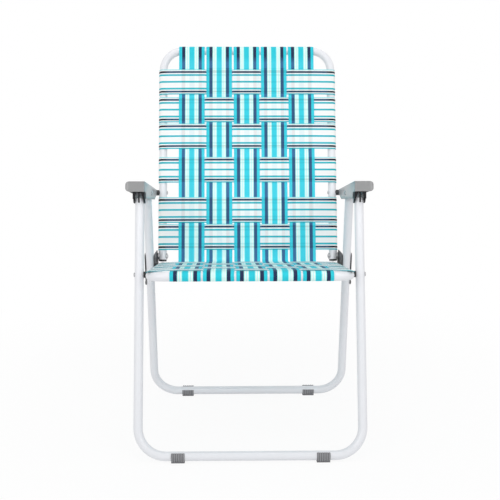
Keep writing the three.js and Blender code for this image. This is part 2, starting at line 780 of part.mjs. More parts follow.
// Feet clip round the floor bars and open inward and up
function foot(bar, inward) {
  const outer = tubeRadius + footWall;
  const ring = sidePrism(new THREE.Shape(circlePoints(outer, roundSides * 2)), -footLength / 2, footLength / 2);
  const pad = new THREE.BoxGeometry(footLength, footPadWidth, footPadHeight)
    .translate(0, 0, footPadHeight / 2 - bar.y);
  const bore = rodX(tubeRadius + runningGap, -footLength, footLength, 0, 0, roundSides * 2);
  const reach = outer * 2;
  const edges = [footOpeningTurn - footOpening / 2, footOpeningTurn + footOpening / 2];
  const mouth = [
    new THREE.Vector2(0, 0),
    new THREE.Vector2(reach * Math.cos(edges[0]), reach * Math.sin(edges[0])),
    new THREE.Vector2(reach * Math.cos(edges[1]), reach * Math.sin(edges[1])),
  ];
  const solid = cut(join(ring, pad), bore, sidePrism(mouth, -footLength, footLength));
  const turned = inward > 0 ? solid : flippedY(solid);
  return turned.translate(footHalfSpacing, bar.x, bar.y);
}

function flippedY(geometry) {
  return mirrored(geometry).rotateZ(Math.PI);
}

// Webbing: a strap's outline is its centre line given half its thickness each way
function ribbon(line) {
  const half = webThickness / 2;
  const sides = [[], []];
  line.forEach((point, i) => {
    const before = i > 0 ? point.clone().sub(line[i - 1]).normalize() : null;
    const after = i < line.length - 1 ? line[i + 1].clone().sub(point).normalize() : null;
    const run = (before || after).clone().add(after || before).normalize();
    const spread = half / Math.max(run.dot(after || before), sharpestMitre);
    const across = new THREE.Vector2(-run.y, run.x).multiplyScalar(spread);
    sides[0].push(point.clone().add(across));
    sides[1].unshift(point.clone().sub(across));
  });
  return new THREE.Shape([...sides[1], ...sides[0]]);
}

// Round a tube from above it to the outer side and on behind it
function wrap(centre, outward, turn) {
  const radius = tubeRadius + webSeatGap + webThickness / 2;
  return Array.from({ length: wrapSteps + 1 }, (_, i) => {
    const angle = Math.PI / 2 - (turn * i) / wrapSteps;
    return new THREE.Vector2(centre + outward * radius * Math.cos(angle), radius * Math.sin(angle));
  });
}

// A woven run steps over or under at each crossing strap
function woven(crossings) {
  return crossings.flatMap(([middle, level, width]) => [
    new THREE.Vector2(middle - width / 2 - weaveMargin, level),
    new THREE.Vector2(middle + width / 2 + weaveMargin, level),
  ]);
}

function weaveLevel(row, column, crossing) {
  const crossOver = (row + column) % 2 === 0;
  const up = crossing === crossOver;
  return weaveRise + (up ? webLayerStep / 2 : -webLayerStep / 2);
}

function backRow(start, reach, widthShare) {
  return (share) => ({ middle: start + share * reach, width: widthShare * reach });
}

const backRows = [
  ...upperRowShares.map(backRow(pivotLink, upperReach, upperRowWidthShare)),
  ...lowerRowShares.map(backRow(0, pivotLink, lowerRowWidthShare)),
];
const seatRows = seatRowReach.map((middle) => ({ middle, width: seatRowWidth }));

function strap(outline, origin, run, rise, start, width, flare = 0) {
  const side = run.clone().cross(rise);
  const geometry = new THREE.ExtrudeGeometry(outline, { depth: width, bevelEnabled: false });
  const place = geometry.attributes.position;
  for (let i = 0; i < place.count; i += 1) {
    const x = place.getX(i);
    const outside = Math.abs(x) > longStrapX(longStraps, 0) - webPitch / 4;
    if (flare && outside) place.setX(i, x + Math.sign(x) * flare * (width / 2 - place.getZ(i)));
  }
  const turn = new THREE.Matrix4().makeBasis(run, rise, side);
  return geometry.applyMatrix4(turn).translate(...origin.clone().addScaledVector(side, start).toArray());
}

function longStrapX(column, shift) {
  return (column - (longStraps - 1) / 2) * webPitch + shift;
}

const toX = new THREE.Vector3(1, 0, 0);
const backRun = new THREE.Vector3(0, along.x, along.y);
const backRise = new THREE.Vector3(0, -backNormal.x, -backNormal.y);
const backOrigin = new THREE.Vector3(0, backPivot.x, backPivot.y);
const seatRun = new THREE.Vector3(0, seatAlong.x, seatAlong.y);
const seatRise = new THREE.Vector3(0, seatUp.x, seatUp.y);
const seatOrigin = new THREE.Vector3(0, seatFront.x, seatFront.y);

function backLongStrap(column) {
  const rows = backRows.map(({ middle, width }, row) => [middle, weaveLevel(row, column, false), width]).reverse();
  const lowest = rows[0][1];
  const top = wrap(backTopReach, 1, wrapTurn);
  const line = [new THREE.Vector2(backStrapStart, lowest), ...woven(rows).slice(1), ...top];
  const x = longStrapX(column, backStrapShift);
  return strap(ribbon(line), backOrigin, backRun, backRise, x - longWidth / 2, longWidth);
}

function seatLongStrap(column) {
  const rows = seatRows.map(({ middle, width }, row) => [middle, weaveLevel(row, column, false), width]);
  const last = rows[rows.length - 1][1];
  const run = woven(rows).slice(0, -1);
  const line = [...wrap(0, -1, wrapTurn).reverse(), ...run, new THREE.Vector2(seatStrapEnd, last)];
  const x = longStrapX(column, seatStrapShift);
  return strap(ribbon(line), seatOrigin, seatRun, seatRise, x - longWidth / 2, longWidth);
}

function crossLine(row, halfSpan, shift, turn) {
  const columns = Array.from({ length: longStraps }, (_, column) => [
    longStrapX(column, shift),
    weaveLevel(row, column, true),
    longWidth,
  ]);
  return [...wrap(-halfSpan, -1, turn).reverse(), ...woven(columns), ...wrap(halfSpan, 1, turn)];
}

function backCrossStrap(row) {
  const line = crossLine(row, backHalfSpan, backStrapShift, wrapTurn);
  const { middle, width } = backRows[row];
  return strap(ribbon(line), backOrigin, toX, backRise, -middle - width / 2, width);
}

function seatCrossStrap(row) {
  const { middle, width } = seatRows[row];
  const line = crossLine(row, seatHalfSpan(middle), seatStrapShift, row === 0 ? cornerWrapTurn : wrapTurn);
  const flare = (seatRearHalfSpan - seatFrontHalfSpan) / seatRailLength;
  return strap(ribbon(line), seatOrigin, toX, seatRise, -middle - width / 2, width, flare);
}

// Assembly: left is at -X and right at +X, as seen from the front
const chair = new THREE.Group();
chair.name = 'folding_webbed_chair';

function add(name, geometry, material) {
  const bare = geometry.index ? geometry.toNonIndexed() : geometry;
  bare.deleteAttribute('uv');
  bare.computeVertexNormals();
  const mesh = new THREE.Mesh(bare, material);
  mesh.name = name;
  chair.add(mesh);
}

function addPair(name, geometry, material) {
  add(`${name}_right`, geometry, material);
  add(`${name}_left`, mirrored(geometry), material);
}

function inSpace(x, place) {
  return new THREE.Vector3(x, place.x, place.y);
}

const tubeFace = tubeRadius + runningGap;
const backTail = backPivot.clone().addScaledVector(along, -backTailLength);
const railRear = inSpace(seatRearHalfSpan, onSeat(seatRailLength));
const railFront = inSpace(seatFrontHalfSpan, seatFront);
const railX = seatHalfSpan(seatReachOf(seatFrontPivot));
const legOuterFace = legHalfSpan + tubeFace;
const armPinEnd = midWallOuterX + runningGap + pinHeadHeight;
const stopPinEnd = channelOuterX + 2 * runningGap + stopCheek + pinHeadHeight;
const armPinStart = armInnerX - pinFlatHeight;
const backInner = backHalfSpan - tubeRadius - runningGap / 2;
const saddleStart = backHalfSpan + tubeRadius - saddleRim;
const seatPinStart = railX - tubeFace - pinHeadHeight;
const hingePinStart = backInner - washerThickness - runningGap - pinHeadHeight;

add('back_frame', backFrame(), frameWhite);
add('seat_frame', seatFrameSolid(), frameWhite);
add('front_leg_frame', legFrame(armFrontPivot, frontBar, [armFrontPivot, seatFrontPivot]), frameWhite);
add('rear_leg_frame', legFrame(rearLegPivot, rearBar, [rearLegPivot]), frameWhite);
addPair('armrest', armrest().rotateX(-armSlope).translate(0, armFrontY, armFrontZ), armGrey);
addPair('arm_stop_bracket', stopBracket().rotateX(-armSlope).translate(0, armFrontY, armFrontZ), bracketBlack);
addPair('link_bracket', linkBracket(), bracketBlack);
addPair('seat_hinge_plate', seatHingePlate(), bracketBlack);
addPair('front_foot', foot(frontBar, 1), footGrey);
addPair('rear_foot', foot(rearBar, -1), footGrey);
addPair(
  'back_tube_plug',
  tubePlug(inSpace(backHalfSpan, backTail), inSpace(0, along.clone().negate())),
  plasticBlack,
);
addPair('seat_tube_plug', tubePlug(railRear, railRear.clone().sub(railFront)), plasticBlack);
addPair(
  'seat_leg_bush',
  cut(
    rodX(bushRadius, railX + tubeFace, legHalfSpan - tubeFace, seatFrontPivot.x, seatFrontPivot.y),
    pinHole(legHalfSpan - tubeFace, seatFrontPivot),
  ),
  plasticBlack,
);
addPair(
  'back_arm_spacer',
  saddle(bushRadius, saddleStart, armRearInnerX - runningGap, armRearPivot, backHalfSpan, along),
  plasticBlack,
);
addPair(
  'hinge_saddle_outer',
  saddle(washerRadius, saddleStart, saddleFaceX(), backPivot, backHalfSpan, along),
  plasticBlack,
);
addPair(
  'hinge_saddle_inner',
  saddle(washerRadius, backInner - washerThickness, backInner + saddleRim, backPivot, backHalfSpan, along),
  plasticBlack,
);
addPair('front_arm_pin', armPin(armPinStart, stopPinEnd, armFrontPivot), pinSteel);
addPair('rear_leg_pin', armPin(armPinStart, armPinEnd, rearLegPivot), pinSteel);
addPair('seat_leg_pin', pin(seatPinStart, legOuterFace + pinHeadHeight, seatFrontPivot, true, true), pinSteel);
addPair('back_arm_pin', pin(backInner - pinHeadHeight, midWallOuterX, armRearPivot, true, false), pinSteel);
addPair(
  'seat_hinge_pin',
  pin(hingePinStart, linkPlateX() + bracketPlate, backPivot, true, false),
  pinSteel,
);

for (let column = 0; column < longStraps; column += 1) {
  add(`back_strap_long_${column + 1}`, backLongStrap(column), webLong);
  add(`seat_strap_long_${column + 1}`, seatLongStrap(column), webLong);
}
backRows.forEach((_, row) => add(`back_strap_cross_${row + 1}`, backCrossStrap(row), webCross));
seatRows.forEach((_, row) => add(`seat_strap_cross_${row + 1}`, seatCrossStrap(row), webCross));

// A pin with a low wide head on the armrest's inner side
function armPin(x0, x1, place) {
  const seat = x0 + pinFlatHeight - runningGap / 2;
  const profile = [[0, x0], [pinHeadRadius * domeShares[1][0], x0], [pinHeadRadius, seat], [pinRadius, seat]];
  profile.push(...dome(x1, -pinHeadHeight).reverse(), [0, x1]);
  return turned(profile, place);
}

// The origin moves to the middle of the chair's footprint, on the floor
const extent = new THREE.Box3().setFromObject(chair);
const middle = extent.getCenter(new THREE.Vector3());
chair.children.forEach((mesh) => mesh.geometry.translate(-middle.x, -middle.y, -extent.min.z));

export default chair;
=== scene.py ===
import json
import math
import bmesh
import bpy
import numpy as np
from mathutils import Matrix

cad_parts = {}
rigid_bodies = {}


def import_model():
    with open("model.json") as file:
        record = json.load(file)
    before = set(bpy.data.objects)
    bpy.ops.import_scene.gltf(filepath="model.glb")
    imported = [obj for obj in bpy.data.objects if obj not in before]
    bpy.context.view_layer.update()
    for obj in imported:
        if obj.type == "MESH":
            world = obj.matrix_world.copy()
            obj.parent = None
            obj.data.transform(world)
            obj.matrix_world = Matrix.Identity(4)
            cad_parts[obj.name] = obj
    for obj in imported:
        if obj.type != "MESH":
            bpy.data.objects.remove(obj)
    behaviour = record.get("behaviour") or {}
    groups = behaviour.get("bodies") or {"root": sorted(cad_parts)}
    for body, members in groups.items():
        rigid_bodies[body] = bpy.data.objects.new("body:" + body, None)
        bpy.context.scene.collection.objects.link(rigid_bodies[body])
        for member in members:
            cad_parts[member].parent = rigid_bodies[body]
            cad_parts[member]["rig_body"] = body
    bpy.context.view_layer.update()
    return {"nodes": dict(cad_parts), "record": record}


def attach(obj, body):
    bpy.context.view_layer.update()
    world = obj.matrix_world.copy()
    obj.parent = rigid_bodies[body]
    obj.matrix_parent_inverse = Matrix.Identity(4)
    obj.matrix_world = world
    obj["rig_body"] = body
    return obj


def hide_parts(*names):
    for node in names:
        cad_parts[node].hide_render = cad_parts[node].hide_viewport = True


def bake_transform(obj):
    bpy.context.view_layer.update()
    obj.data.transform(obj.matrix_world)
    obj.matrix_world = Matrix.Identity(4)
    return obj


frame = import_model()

print("chair: frame loaded")


def unit(vector):
    return vector / np.linalg.norm(vector)


def alongLine(start, direction, reach):
    return start + direction * reach


# Shared places, in metres: y back, z up. They repeat the model's own driving sizes
middleY = 0.284826  # from the front floor bar to the middle of the footprint
lean = math.radians(16.5)
seatSlope = math.radians(8.5)
seatPivot = np.array([0.420 - middleY, 0.3645])
backRun = np.array([math.sin(lean), math.cos(lean)])
backRise = np.array([-math.cos(lean), math.sin(lean)])
seatFront = np.array([0.0466 - middleY, 0.3945])
seatRun = np.array([math.cos(seatSlope), -math.sin(seatSlope)])
seatRise = np.array([math.sin(seatSlope), math.cos(seatSlope)])
tube = {"radius": 0.010, "wall": 0.0012, "sides": 40, "bendSteps": 18}
barHeight = 0.013
frontBar = np.array([-middleY, barHeight])
rearBar = np.array([0.410 - middleY, barHeight])
frontPivotHeight = 0.385
linkLength = 0.162
rearLegHang = {"along": 0.148, "up": 0.009}  # from the back's pivot on the armrest to the rear leg's

frontPivot = frontBar + backRun * (frontPivotHeight - barHeight) / backRun[1]
frontArmPivot = alongLine(frontPivot, backRun, linkLength)
backArmPivot = alongLine(seatPivot, backRun, linkLength)
armLink = unit(frontArmPivot - backArmPivot)
armLinkUp = np.array([armLink[1], -armLink[0]])
rearLegPivot = backArmPivot + armLink * rearLegHang["along"] + armLinkUp * rearLegHang["up"]

# Camera at the photograph's place: metres, degrees and millimetres of lens. Back is from the front floor bar
camera = {"height": 0.797, "back": 1.766, "side": -0.030, "pitch": 10.8, "yaw": 0.92, "lens": 63.5,
          "sensor": 36, "clipEnd": 50}


def makeCamera():
    data = bpy.data.cameras.new("photoCamera")
    data.lens = camera["lens"]
    data.sensor_width = camera["sensor"]
    data.clip_end = camera["clipEnd"]
    obj = bpy.data.objects.new("photoCamera", data)
    obj.location = (camera["side"], -middleY - camera["back"], camera["height"])
    obj.rotation_euler = (math.radians(90 - camera["pitch"]), 0, math.radians(-camera["yaw"]))
    bpy.context.scene.collection.objects.link(obj)
    bpy.context.scene.camera = obj


makeCamera()

meshing = {"mergeDistance": 1e-6, "sharpAngle": 35}


# A mesh from points and faces. Its UV maps are given point by point, and edges past the angle stay sharp
def newMesh(name, points, faces, uvMaps=None, sharpAngle=meshing["sharpAngle"]):
    mesh = bpy.data.meshes.new(name)
    mesh.from_pydata(np.asarray(points, float).tolist(), [], faces)
    corner = np.empty(len(mesh.loops), dtype=np.int32)
    mesh.loops.foreach_get("vertex_index", corner)
    for label, uv in (uvMaps or {}).items():
        layer = mesh.uv_layers.new(name=label)
        layer.data.foreach_set("uv", np.asarray(uv, np.float32).reshape(-1, 2)[corner].ravel())
    mesh.validate()
    mesh.shade_smooth()
    mesh.set_sharp_from_angle(angle=math.radians(sharpAngle))
    obj = bpy.data.objects.new(name, mesh)
    bpy.context.scene.collection.objects.link(obj)
    return obj


# Quads of a grid of rings: rings follow u, the points of a ring follow v and close on themselves
def ringFaces(rings, sides, closeRings):
    count = rings if closeRings else rings - 1
    i, j = np.meshgrid(np.arange(count), np.arange(sides), indexing="ij")
    a = i * sides + j
    b = ((i + 1) % rings) * sides + j
    c = ((i + 1) % rings) * sides + (j + 1) % sides
    d = i * sides + (j + 1) % sides
    return np.stack([a, b, c, d], axis=-1).reshape(-1, 4).tolist()


# Doubles are merged where asked, then every face is turned outwards
def outwards(obj, merge=True):
    work = bmesh.new()
    work.from_mesh(obj.data)
    if merge:
        bmesh.ops.remove_doubles(work, verts=work.verts, dist=meshing["mergeDistance"])
    bmesh.ops.recalc_face_normals(work, faces=work.faces)
    work.to_mesh(obj.data)
    work.free()
    return obj


def paint(obj, look):
    obj.data.materials.clear()
    obj.data.materials.append(materials[look])
    return obj


# A piece rides on its body and stands for its node. It takes the finish of its own look where it has one,
# else that of its slot
def dress(obj, body, node, slotName, look=None):
    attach(obj, body)
    if node:
        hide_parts(node)
    return paint(obj, look or slotName)


# "seat_leg_bush" and "left" make SeatLegBushLeft
def capitalised(*labels):
    return "".join(word.capitalize() for label in labels for word in label.split("_"))


def at(x, place):
    return np.array([x, place[0], place[1]])


turning = {"sides": 40, "upright": 0.9}  # an axis more upright than that takes Y as its helper, others take Z


# A turned piece: a profile of (radius, reach) pairs turned round an axis from a base point
def turnedPiece(name, profile, base, axis, node, slotName, look=None, bored=False, sides=turning["sides"],
                stands=True):
    profile = np.asarray(profile, float)
    axis = unit(np.asarray(axis, float))
    helper = np.array([0.0, 0.0, 1.0] if abs(axis[2]) < turning["upright"] else [0.0, 1.0, 0.0])
    first = unit(np.cross(axis, helper))
    second = np.cross(axis, first)
    angle = np.linspace(0, 2 * math.pi, sides, endpoint=False)
    ring = np.cos(angle)[:, None] * first + np.sin(angle)[:, None] * second
    points = np.asarray(base) + profile[:, None, 1:2] * axis + profile[:, None, 0:1] * ring[None]
    obj = outwards(newMesh(name, points.reshape(-1, 3), ringFaces(len(profile), sides, bored)))
    return dress(obj, frame["nodes"][node]["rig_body"], node if stands else None, slotName, look)


# The two kinds of socket in the node groups below
valueSocket, colourSocket = "NodeSocketFloat", "NodeSocketColor"


# A node group. An input is a colour or a value by what it is given, and an output is named with its kind
def groupNode(name, inputs, outputs):
    group = bpy.data.node_groups.new(name, "ShaderNodeTree")
    for label, value in inputs.items():
        kind = colourSocket if isinstance(value, tuple) else valueSocket
        group.interface.new_socket(name=label, in_out="INPUT", socket_type=kind).default_value = value
    for label, kind in outputs.items():
        group.interface.new_socket(name=label, in_out="OUTPUT", socket_type=kind)
    return group, group.nodes.new("NodeGroupInput"), group.nodes.new("NodeGroupOutput")


# A socket takes a number, a colour or another node's output
def feed(tree, socket, value):
    if isinstance(value, (int, float)):
        socket.default_value = value
    elif isinstance(value, tuple):
        socket.default_value = (*value, 1)
    else:
        tree.links.new(value, socket)


def maths(tree, operation, *values):
    node = tree.nodes.new("ShaderNodeMath")
    node.operation = operation
    for socket, value in zip(node.inputs, values):
        feed(tree, socket, value)
    return node.outputs[0]


def mixColour(tree, factor, a, b, blend="MIX"):
    node = tree.nodes.new("ShaderNodeMix")
    node.data_type = "RGBA"
    node.blend_type = blend
    for socket, value in ((node.inputs[0], factor), (node.inputs[6], a), (node.inputs[7], b)):
        feed(tree, socket, value)
    return node.outputs[2]


def noise(tree, vector, scale, detail, rough):
    node = tree.nodes.new("ShaderNodeTexNoise")
    for label, value in (("Vector", vector), ("Scale", scale), ("Detail", detail), ("Roughness", rough)):
        feed(tree, node.inputs[label], value)
    return node.outputs["Fac"]


# The first two parts of a piece's own UV map
def splitMap(tree, mapName):
    place = tree.nodes.new("ShaderNodeUVMap")
    place.uv_map = mapName
    split = tree.nodes.new("ShaderNodeSeparateXYZ")
    tree.links.new(place.outputs[0], split.inputs[0])
    return split.outputs[0], split.outputs[1]


grainLook = {"cloudScale": 14.0, "cloudDetail": 4, "fineDetail": 2, "rough": 0.6}


# Grain: a broad cloud shifts the colour to the tint and varies the roughness, and a fine height feeds a bump
def makeGrainGroup():
    group, source, target = groupNode(
        "surfaceGrain",
        {"Color": (0.5, 0.5, 0.5, 1), "Tint": (0.4, 0.4, 0.4, 1), "Tint Amount": 0.2, "Roughness": 0.5,
         "Roughness Spread": 0.1, "Grain Scale": 1500.0},
        {"Color": colourSocket, "Roughness": valueSocket, "Height": valueSocket},
    )
    place = group.nodes.new("ShaderNodeTexCoord").outputs["Object"]
    cloud = noise(group, place, grainLook["cloudScale"], grainLook["cloudDetail"], grainLook["rough"])
    fine = noise(group, place, source.outputs["Grain Scale"], grainLook["fineDetail"], grainLook["rough"])
    patch = maths(group, "MULTIPLY", cloud, source.outputs["Tint Amount"])
    swing = maths(group, "SUBTRACT", cloud, 0.5)
    spread = maths(group, "MULTIPLY", swing, source.outputs["Roughness Spread"])
    colour = mixColour(group, patch, source.outputs["Color"], source.outputs["Tint"])
    group.links.new(colour, target.inputs["Color"])
    group.links.new(maths(group, "ADD", source.outputs["Roughness"], spread), target.inputs["Roughness"])
    group.links.new(fine, target.inputs["Height"])
    return group


strapWidth = 0.0655
weaveLook = {"ribPitch": 0.0016, "pickPitch": 0.0011, "ribShift": 0.5, "ribPower": 0.6, "pickDepth": 0.5,
             "shadeLow": 0.88, "shadeSpan": 0.14}


# Weave: ribs run along the strap and picks across them, shifted by half a pick from rib to rib. The height is
# the rib's sine wave raised to a power, times the pick's wave at part strength. It also shades the colour
def makeWeaveGroup():
    group, source, target = groupNode(
        "strapWeave",
        {"Rib Pitch": weaveLook["ribPitch"], "Pick Pitch": weaveLook["pickPitch"], "Width": strapWidth},
        {"Height": valueSocket, "Across": valueSocket, "Shade": valueSocket},
    )

    def wave(turns):
        return maths(group, "ABSOLUTE", maths(group, "SINE", maths(group, "MULTIPLY", turns, math.pi)))

    acrossShare, along = splitMap(group, "strapUv")
    across = maths(group, "MULTIPLY", acrossShare, source.outputs["Width"])
    rib = maths(group, "DIVIDE", across, source.outputs["Rib Pitch"])
    pick = maths(group, "DIVIDE", along, source.outputs["Pick Pitch"])
    shift = maths(group, "MULTIPLY", maths(group, "FLOOR", rib), weaveLook["ribShift"])
    ribHeight = maths(group, "POWER", wave(rib), weaveLook["ribPower"])
    pickDepth = weaveLook["pickDepth"]
    pickWave = maths(group, "MULTIPLY", wave(maths(group, "ADD", pick, shift)), pickDepth)
    height = maths(group, "MULTIPLY", ribHeight, maths(group, "ADD", pickWave, 1 - pickDepth))
    lit = maths(group, "MULTIPLY", height, weaveLook["shadeSpan"])
    shade = maths(group, "ADD", lit, weaveLook["shadeLow"])
    group.links.new(height, target.inputs["Height"])
    group.links.new(acrossShare, target.inputs["Across"])
    group.links.new(shade, target.inputs["Shade"])
    return group


grainGroup = makeGrainGroup()
weaveGroup = makeWeaveGroup()


def shaderOf(name):
    material = bpy.data.materials.new(name)
    material.use_nodes = True
    tree = material.node_tree
    return material, tree, tree.nodes["Principled BSDF"]


def addBump(tree, shader, height, strength, distance):
    bump = tree.nodes.new("ShaderNodeBump")
    bump.inputs["Strength"].default_value = strength
    bump.inputs["Distance"].default_value = distance
    tree.links.new(height, bump.inputs["Height"])
    tree.links.new(bump.outputs[0], shader.inputs["Normal"])


# Finishes, by the record's slots. The stop brackets' darker paint is a look without a slot of its own
looks = {
    "tube_paint": {"colour": (0.76, 0.77, 0.80), "tint": (0.66, 0.67, 0.71), "tintAmount": 0.25,
                   "roughness": 0.34, "spread": 0.08, "grain": 700.0, "bump": 0.12, "coat": 0.25},
    "arm_moulding": {"colour": (0.248, 0.249, 0.253), "tint": (0.19, 0.192, 0.196), "tintAmount": 0.35,
                     "roughness": 0.33, "spread": 0.08, "grain": 2200.0, "bump": 0.12, "coat": 0.6},
    "bracket_paint": {"colour": (0.030, 0.031, 0.036), "tint": (0.05, 0.05, 0.055), "tintAmount": 0.5,
                      "roughness": 0.42, "spread": 0.15, "grain": 1100.0, "bump": 0.3},
    "stop_paint": {"colour": (0.010, 0.010, 0.012), "tint": (0.02, 0.02, 0.022), "tintAmount": 0.5,
                   "roughness": 0.5, "spread": 0.15, "grain": 1100.0, "bump": 0.3, "specular": 0.15},
    "foot_moulding": {"colour": (0.26, 0.26, 0.275), "tint": (0.32, 0.32, 0.33), "tintAmount": 0.5,
                      "roughness": 0.6, "spread": 0.15, "grain": 2000.0, "bump": 0.35},
    "pin_metal": {"colour": (0.55, 0.55, 0.56), "tint": (0.38, 0.38, 0.40), "tintAmount": 0.5,
                  "roughness": 0.32, "spread": 0.2, "grain": 1300.0, "bump": 0.2, "metallic": 1.0},
    "black_plastic": {"colour": (0.018, 0.018, 0.02), "tint": (0.05, 0.05, 0.05), "tintAmount": 0.3,
                      "roughness": 0.5, "spread": 0.15, "grain": 1800.0, "bump": 0.3},
}
sharedLook = {"coatRoughness": 0.2, "bumpDepth": 0.0003, "specular": 0.5}


def grainMaterial(name, look):
    material, tree, shader = shaderOf(name)
    grain = tree.nodes.new("ShaderNodeGroup")
    grain.node_tree = grainGroup
    for label, key in (("Color", "colour"), ("Tint", "tint"), ("Tint Amount", "tintAmount"),
                       ("Roughness", "roughness"), ("Roughness Spread", "spread"), ("Grain Scale", "grain")):
        feed(tree, grain.inputs[label], look[key])
    tree.links.new(grain.outputs["Color"], shader.inputs["Base Color"])
    tree.links.new(grain.outputs["Roughness"], shader.inputs["Roughness"])
    shader.inputs["Metallic"].default_value = look.get("metallic", 0.0)
    shader.inputs["Coat Weight"].default_value = look.get("coat", 0.0)
    shader.inputs["Coat Roughness"].default_value = sharedLook["coatRoughness"]
    shader.inputs["Specular IOR Level"].default_value = look.get("specular", sharedLook["specular"])
    addBump(tree, shader, grain.outputs["Height"], look["bump"], sharedLook["bumpDepth"])
    return material


materials = {name: grainMaterial(name, look) for name, look in looks.items()}

# Painted shade in the feet: its strength in the grooves and under the sole, and the shade's colour
footShade = {"groove": 0.55, "sole": 0.9, "colour": (0.03, 0.03, 0.035)}


# Painted shade: the feet are darker in the grooves between their ribs and under the sole, where shade falls.
# Their map holds both shares
def paintFootShade(material):
    tree = material.node_tree
    base = tree.nodes["Principled BSDF"].inputs["Base Color"]
    plain = base.links[0].from_socket
    groove, sole = splitMap(tree, "ribUv")
    groove = maths(tree, "MULTIPLY", groove, footShade["groove"])
    sole = maths(tree, "MULTIPLY", sole, footShade["sole"])
    tree.links.new(mixColour(tree, maths(tree, "MAXIMUM", groove, sole), plain, footShade["colour"]), base)


paintFootShade(materials["foot_moulding"])

# Yarn colours and the stripes of each strap, each from a share of its width, counted from one edge
yarn = {
    "cyan": (0.016, 0.58, 0.70), "navy": (0.005, 0.018, 0.070), "mint": (0.46, 0.93, 0.88),
    "white": (0.89, 0.90, 0.89), "teal": (0.004, 0.44, 0.52), "ink": (0.005, 0.008, 0.022),
    "pale": (0.20, 0.68, 0.72),
}
longStripes = [
    (0.0, "cyan"), (0.115, "navy"), (0.24, "mint"), (0.275, "white"), (0.305, "mint"), (0.34, "white"),
    (0.37, "mint"), (0.405, "cyan"), (0.595, "mint"), (0.63, "white"), (0.66, "mint"), (0.695, "white"),
    (0.725, "mint"), (0.76, "navy"), (0.885, "cyan"),
]
crossStripes = [
    (0.0, "teal"), (0.040, "white"), (0.073, "ink"), (0.148, "white"), (0.192, "teal"), (0.262, "white"),
    (0.466, "teal"), (0.536, "white"), (0.738, "teal"), (0.808, "white"), (0.854, "ink"), (0.930, "white"),
    (0.965, "pale"),
]


# Steps of colour over a factor. With a scale, the stripes end there and the rest colour follows
def stripeRamp(tree, stripes, factor, scale=1.0, rest=None):
    ramp = tree.nodes.new("ShaderNodeValToRGB")
    ramp.color_ramp.interpolation = "CONSTANT"
    elements = ramp.color_ramp.elements
    elements[0].color = (*yarn[stripes[0][1]], 1)
    elements[1].position, elements[1].color = stripes[1][0] * scale, (*yarn[stripes[1][1]], 1)
    for position, colour in stripes[2:]:
        elements.new(position * scale).color = (*yarn[colour], 1)
    if rest:
        elements.new(scale).color = (*rest, 1)
    tree.links.new(factor, ramp.inputs[0])
    return ramp.outputs[0]


# Painted light: where no tube backs the thin yarn, its colour is lightened as if light came through. Painted
# shade: the colours of the strap below show faintly in it
strapLooks = {
    "long_webbing": {"name": "longWebbing", "stripes": longStripes, "below": crossStripes,
                     "belowAmount": 0.22, "light": (0.030, 0.12, 0.25)},
    "cross_webbing": {"name": "crossWebbing", "stripes": crossStripes, "below": longStripes,
                      "belowAmount": 0.16, "light": (0.020, 0.065, 0.13)},
}
# The grey of the painted shade over a gap, and the least share of painted light over a crossing strap
yarnLook = {"gapShade": (0.9, 0.9, 0.9), "crossingLight": 0.55, "roughness": 0.62, "specular": 0.3,
            "bump": 0.5, "bumpDepth": 0.00035}


# The map of straps below counts two for each crossing. The fraction of its half runs up to 0.5 over the
# crossing strap, where less light comes through, and past 0.5 over the gap
def webbingMaterial(look):
    material, tree, shader = shaderOf(look["name"])
    weave = tree.nodes.new("ShaderNodeGroup")
    weave.node_tree = weaveGroup
    own = stripeRamp(tree, look["stripes"], weave.outputs["Across"])
    count, hanging = splitMap(tree, "belowUv")
    crossing = maths(tree, "FRACT", maths(tree, "MULTIPLY", count, 0.5))
    shadow = stripeRamp(tree, look["below"], crossing, 0.5, yarnLook["gapShade"])
    inGap = maths(tree, "GREATER_THAN", crossing, 0.5)
    least = yarnLook["crossingLight"]
    free = maths(tree, "MULTIPLY", hanging, maths(tree, "MULTIPLY_ADD", inGap, 1 - least, least))
    # Painted light screened onto the yarn's colour where it hangs free of the tubes, less over a strap
    # crossing below
    colour = mixColour(tree, free, own, look["light"], "SCREEN")
    # Painted shade from the colours of the strap below, and a faint grey where only a gap lies below
    colour = mixColour(tree, look["belowAmount"], colour, shadow, "MULTIPLY")
    colour = mixColour(tree, 1.0, colour, weave.outputs["Shade"], "MULTIPLY")
    tree.links.new(colour, shader.inputs["Base Color"])
    shader.inputs["Roughness"].default_value = yarnLook["roughness"]
    shader.inputs["Specular IOR Level"].default_value = yarnLook["specular"]
    addBump(tree, shader, weave.outputs["Height"], yarnLook["bump"], yarnLook["bumpDepth"])
    return material


for slotName, look in strapLooks.items():
    materials[slotName] = webbingMaterial(look)
print("chair: materials made")

# The bent tubes of the frame: half widths, bends and lengths along their planes
backTube = {"half": 0.215, "bend": 0.050, "tail": 0.009, "top": 0.532}
seatTube = {"front": 0.213, "rear": 0.216, "bend": 0.032, "length": 0.388}
legTubes = {"half": 0.2405, "bend": 0.060, "overhang": 0.005}
backTail = alongLine(seatPivot, backRun, -backTube["tail"])
backTop = alongLine(seatPivot, backRun, backTube["top"])
seatRear = alongLine(seatFront, seatRun, seatTube["length"])


# A bent path: straight runs between corners, an arc of the given radius at each corner
def bentPath(corners, radius, steps):
    runs = [unit(b - a) for a, b in zip(corners, corners[1:])]
    points, tangents = [corners[0][None]], [runs[0][None]]
    for corner, arrive, leave in zip(corners[1:], runs, runs[1:]):
        turn = math.acos(np.clip(arrive @ leave, -1, 1))
        inward = unit(leave - arrive * (arrive @ leave))
        start = corner - arrive * radius * math.tan(turn / 2)
        angle = np.linspace(0, turn, steps + 1)[:, None]
        points.append(start + radius * (arrive * np.sin(angle) + inward * (1 - np.cos(angle))))
        tangents.append(arrive * np.cos(angle) + inward * np.sin(angle))
    points.append(corners[-1][None])
    tangents.append(runs[-1][None])
    return np.concatenate(points), np.concatenate(tangents)


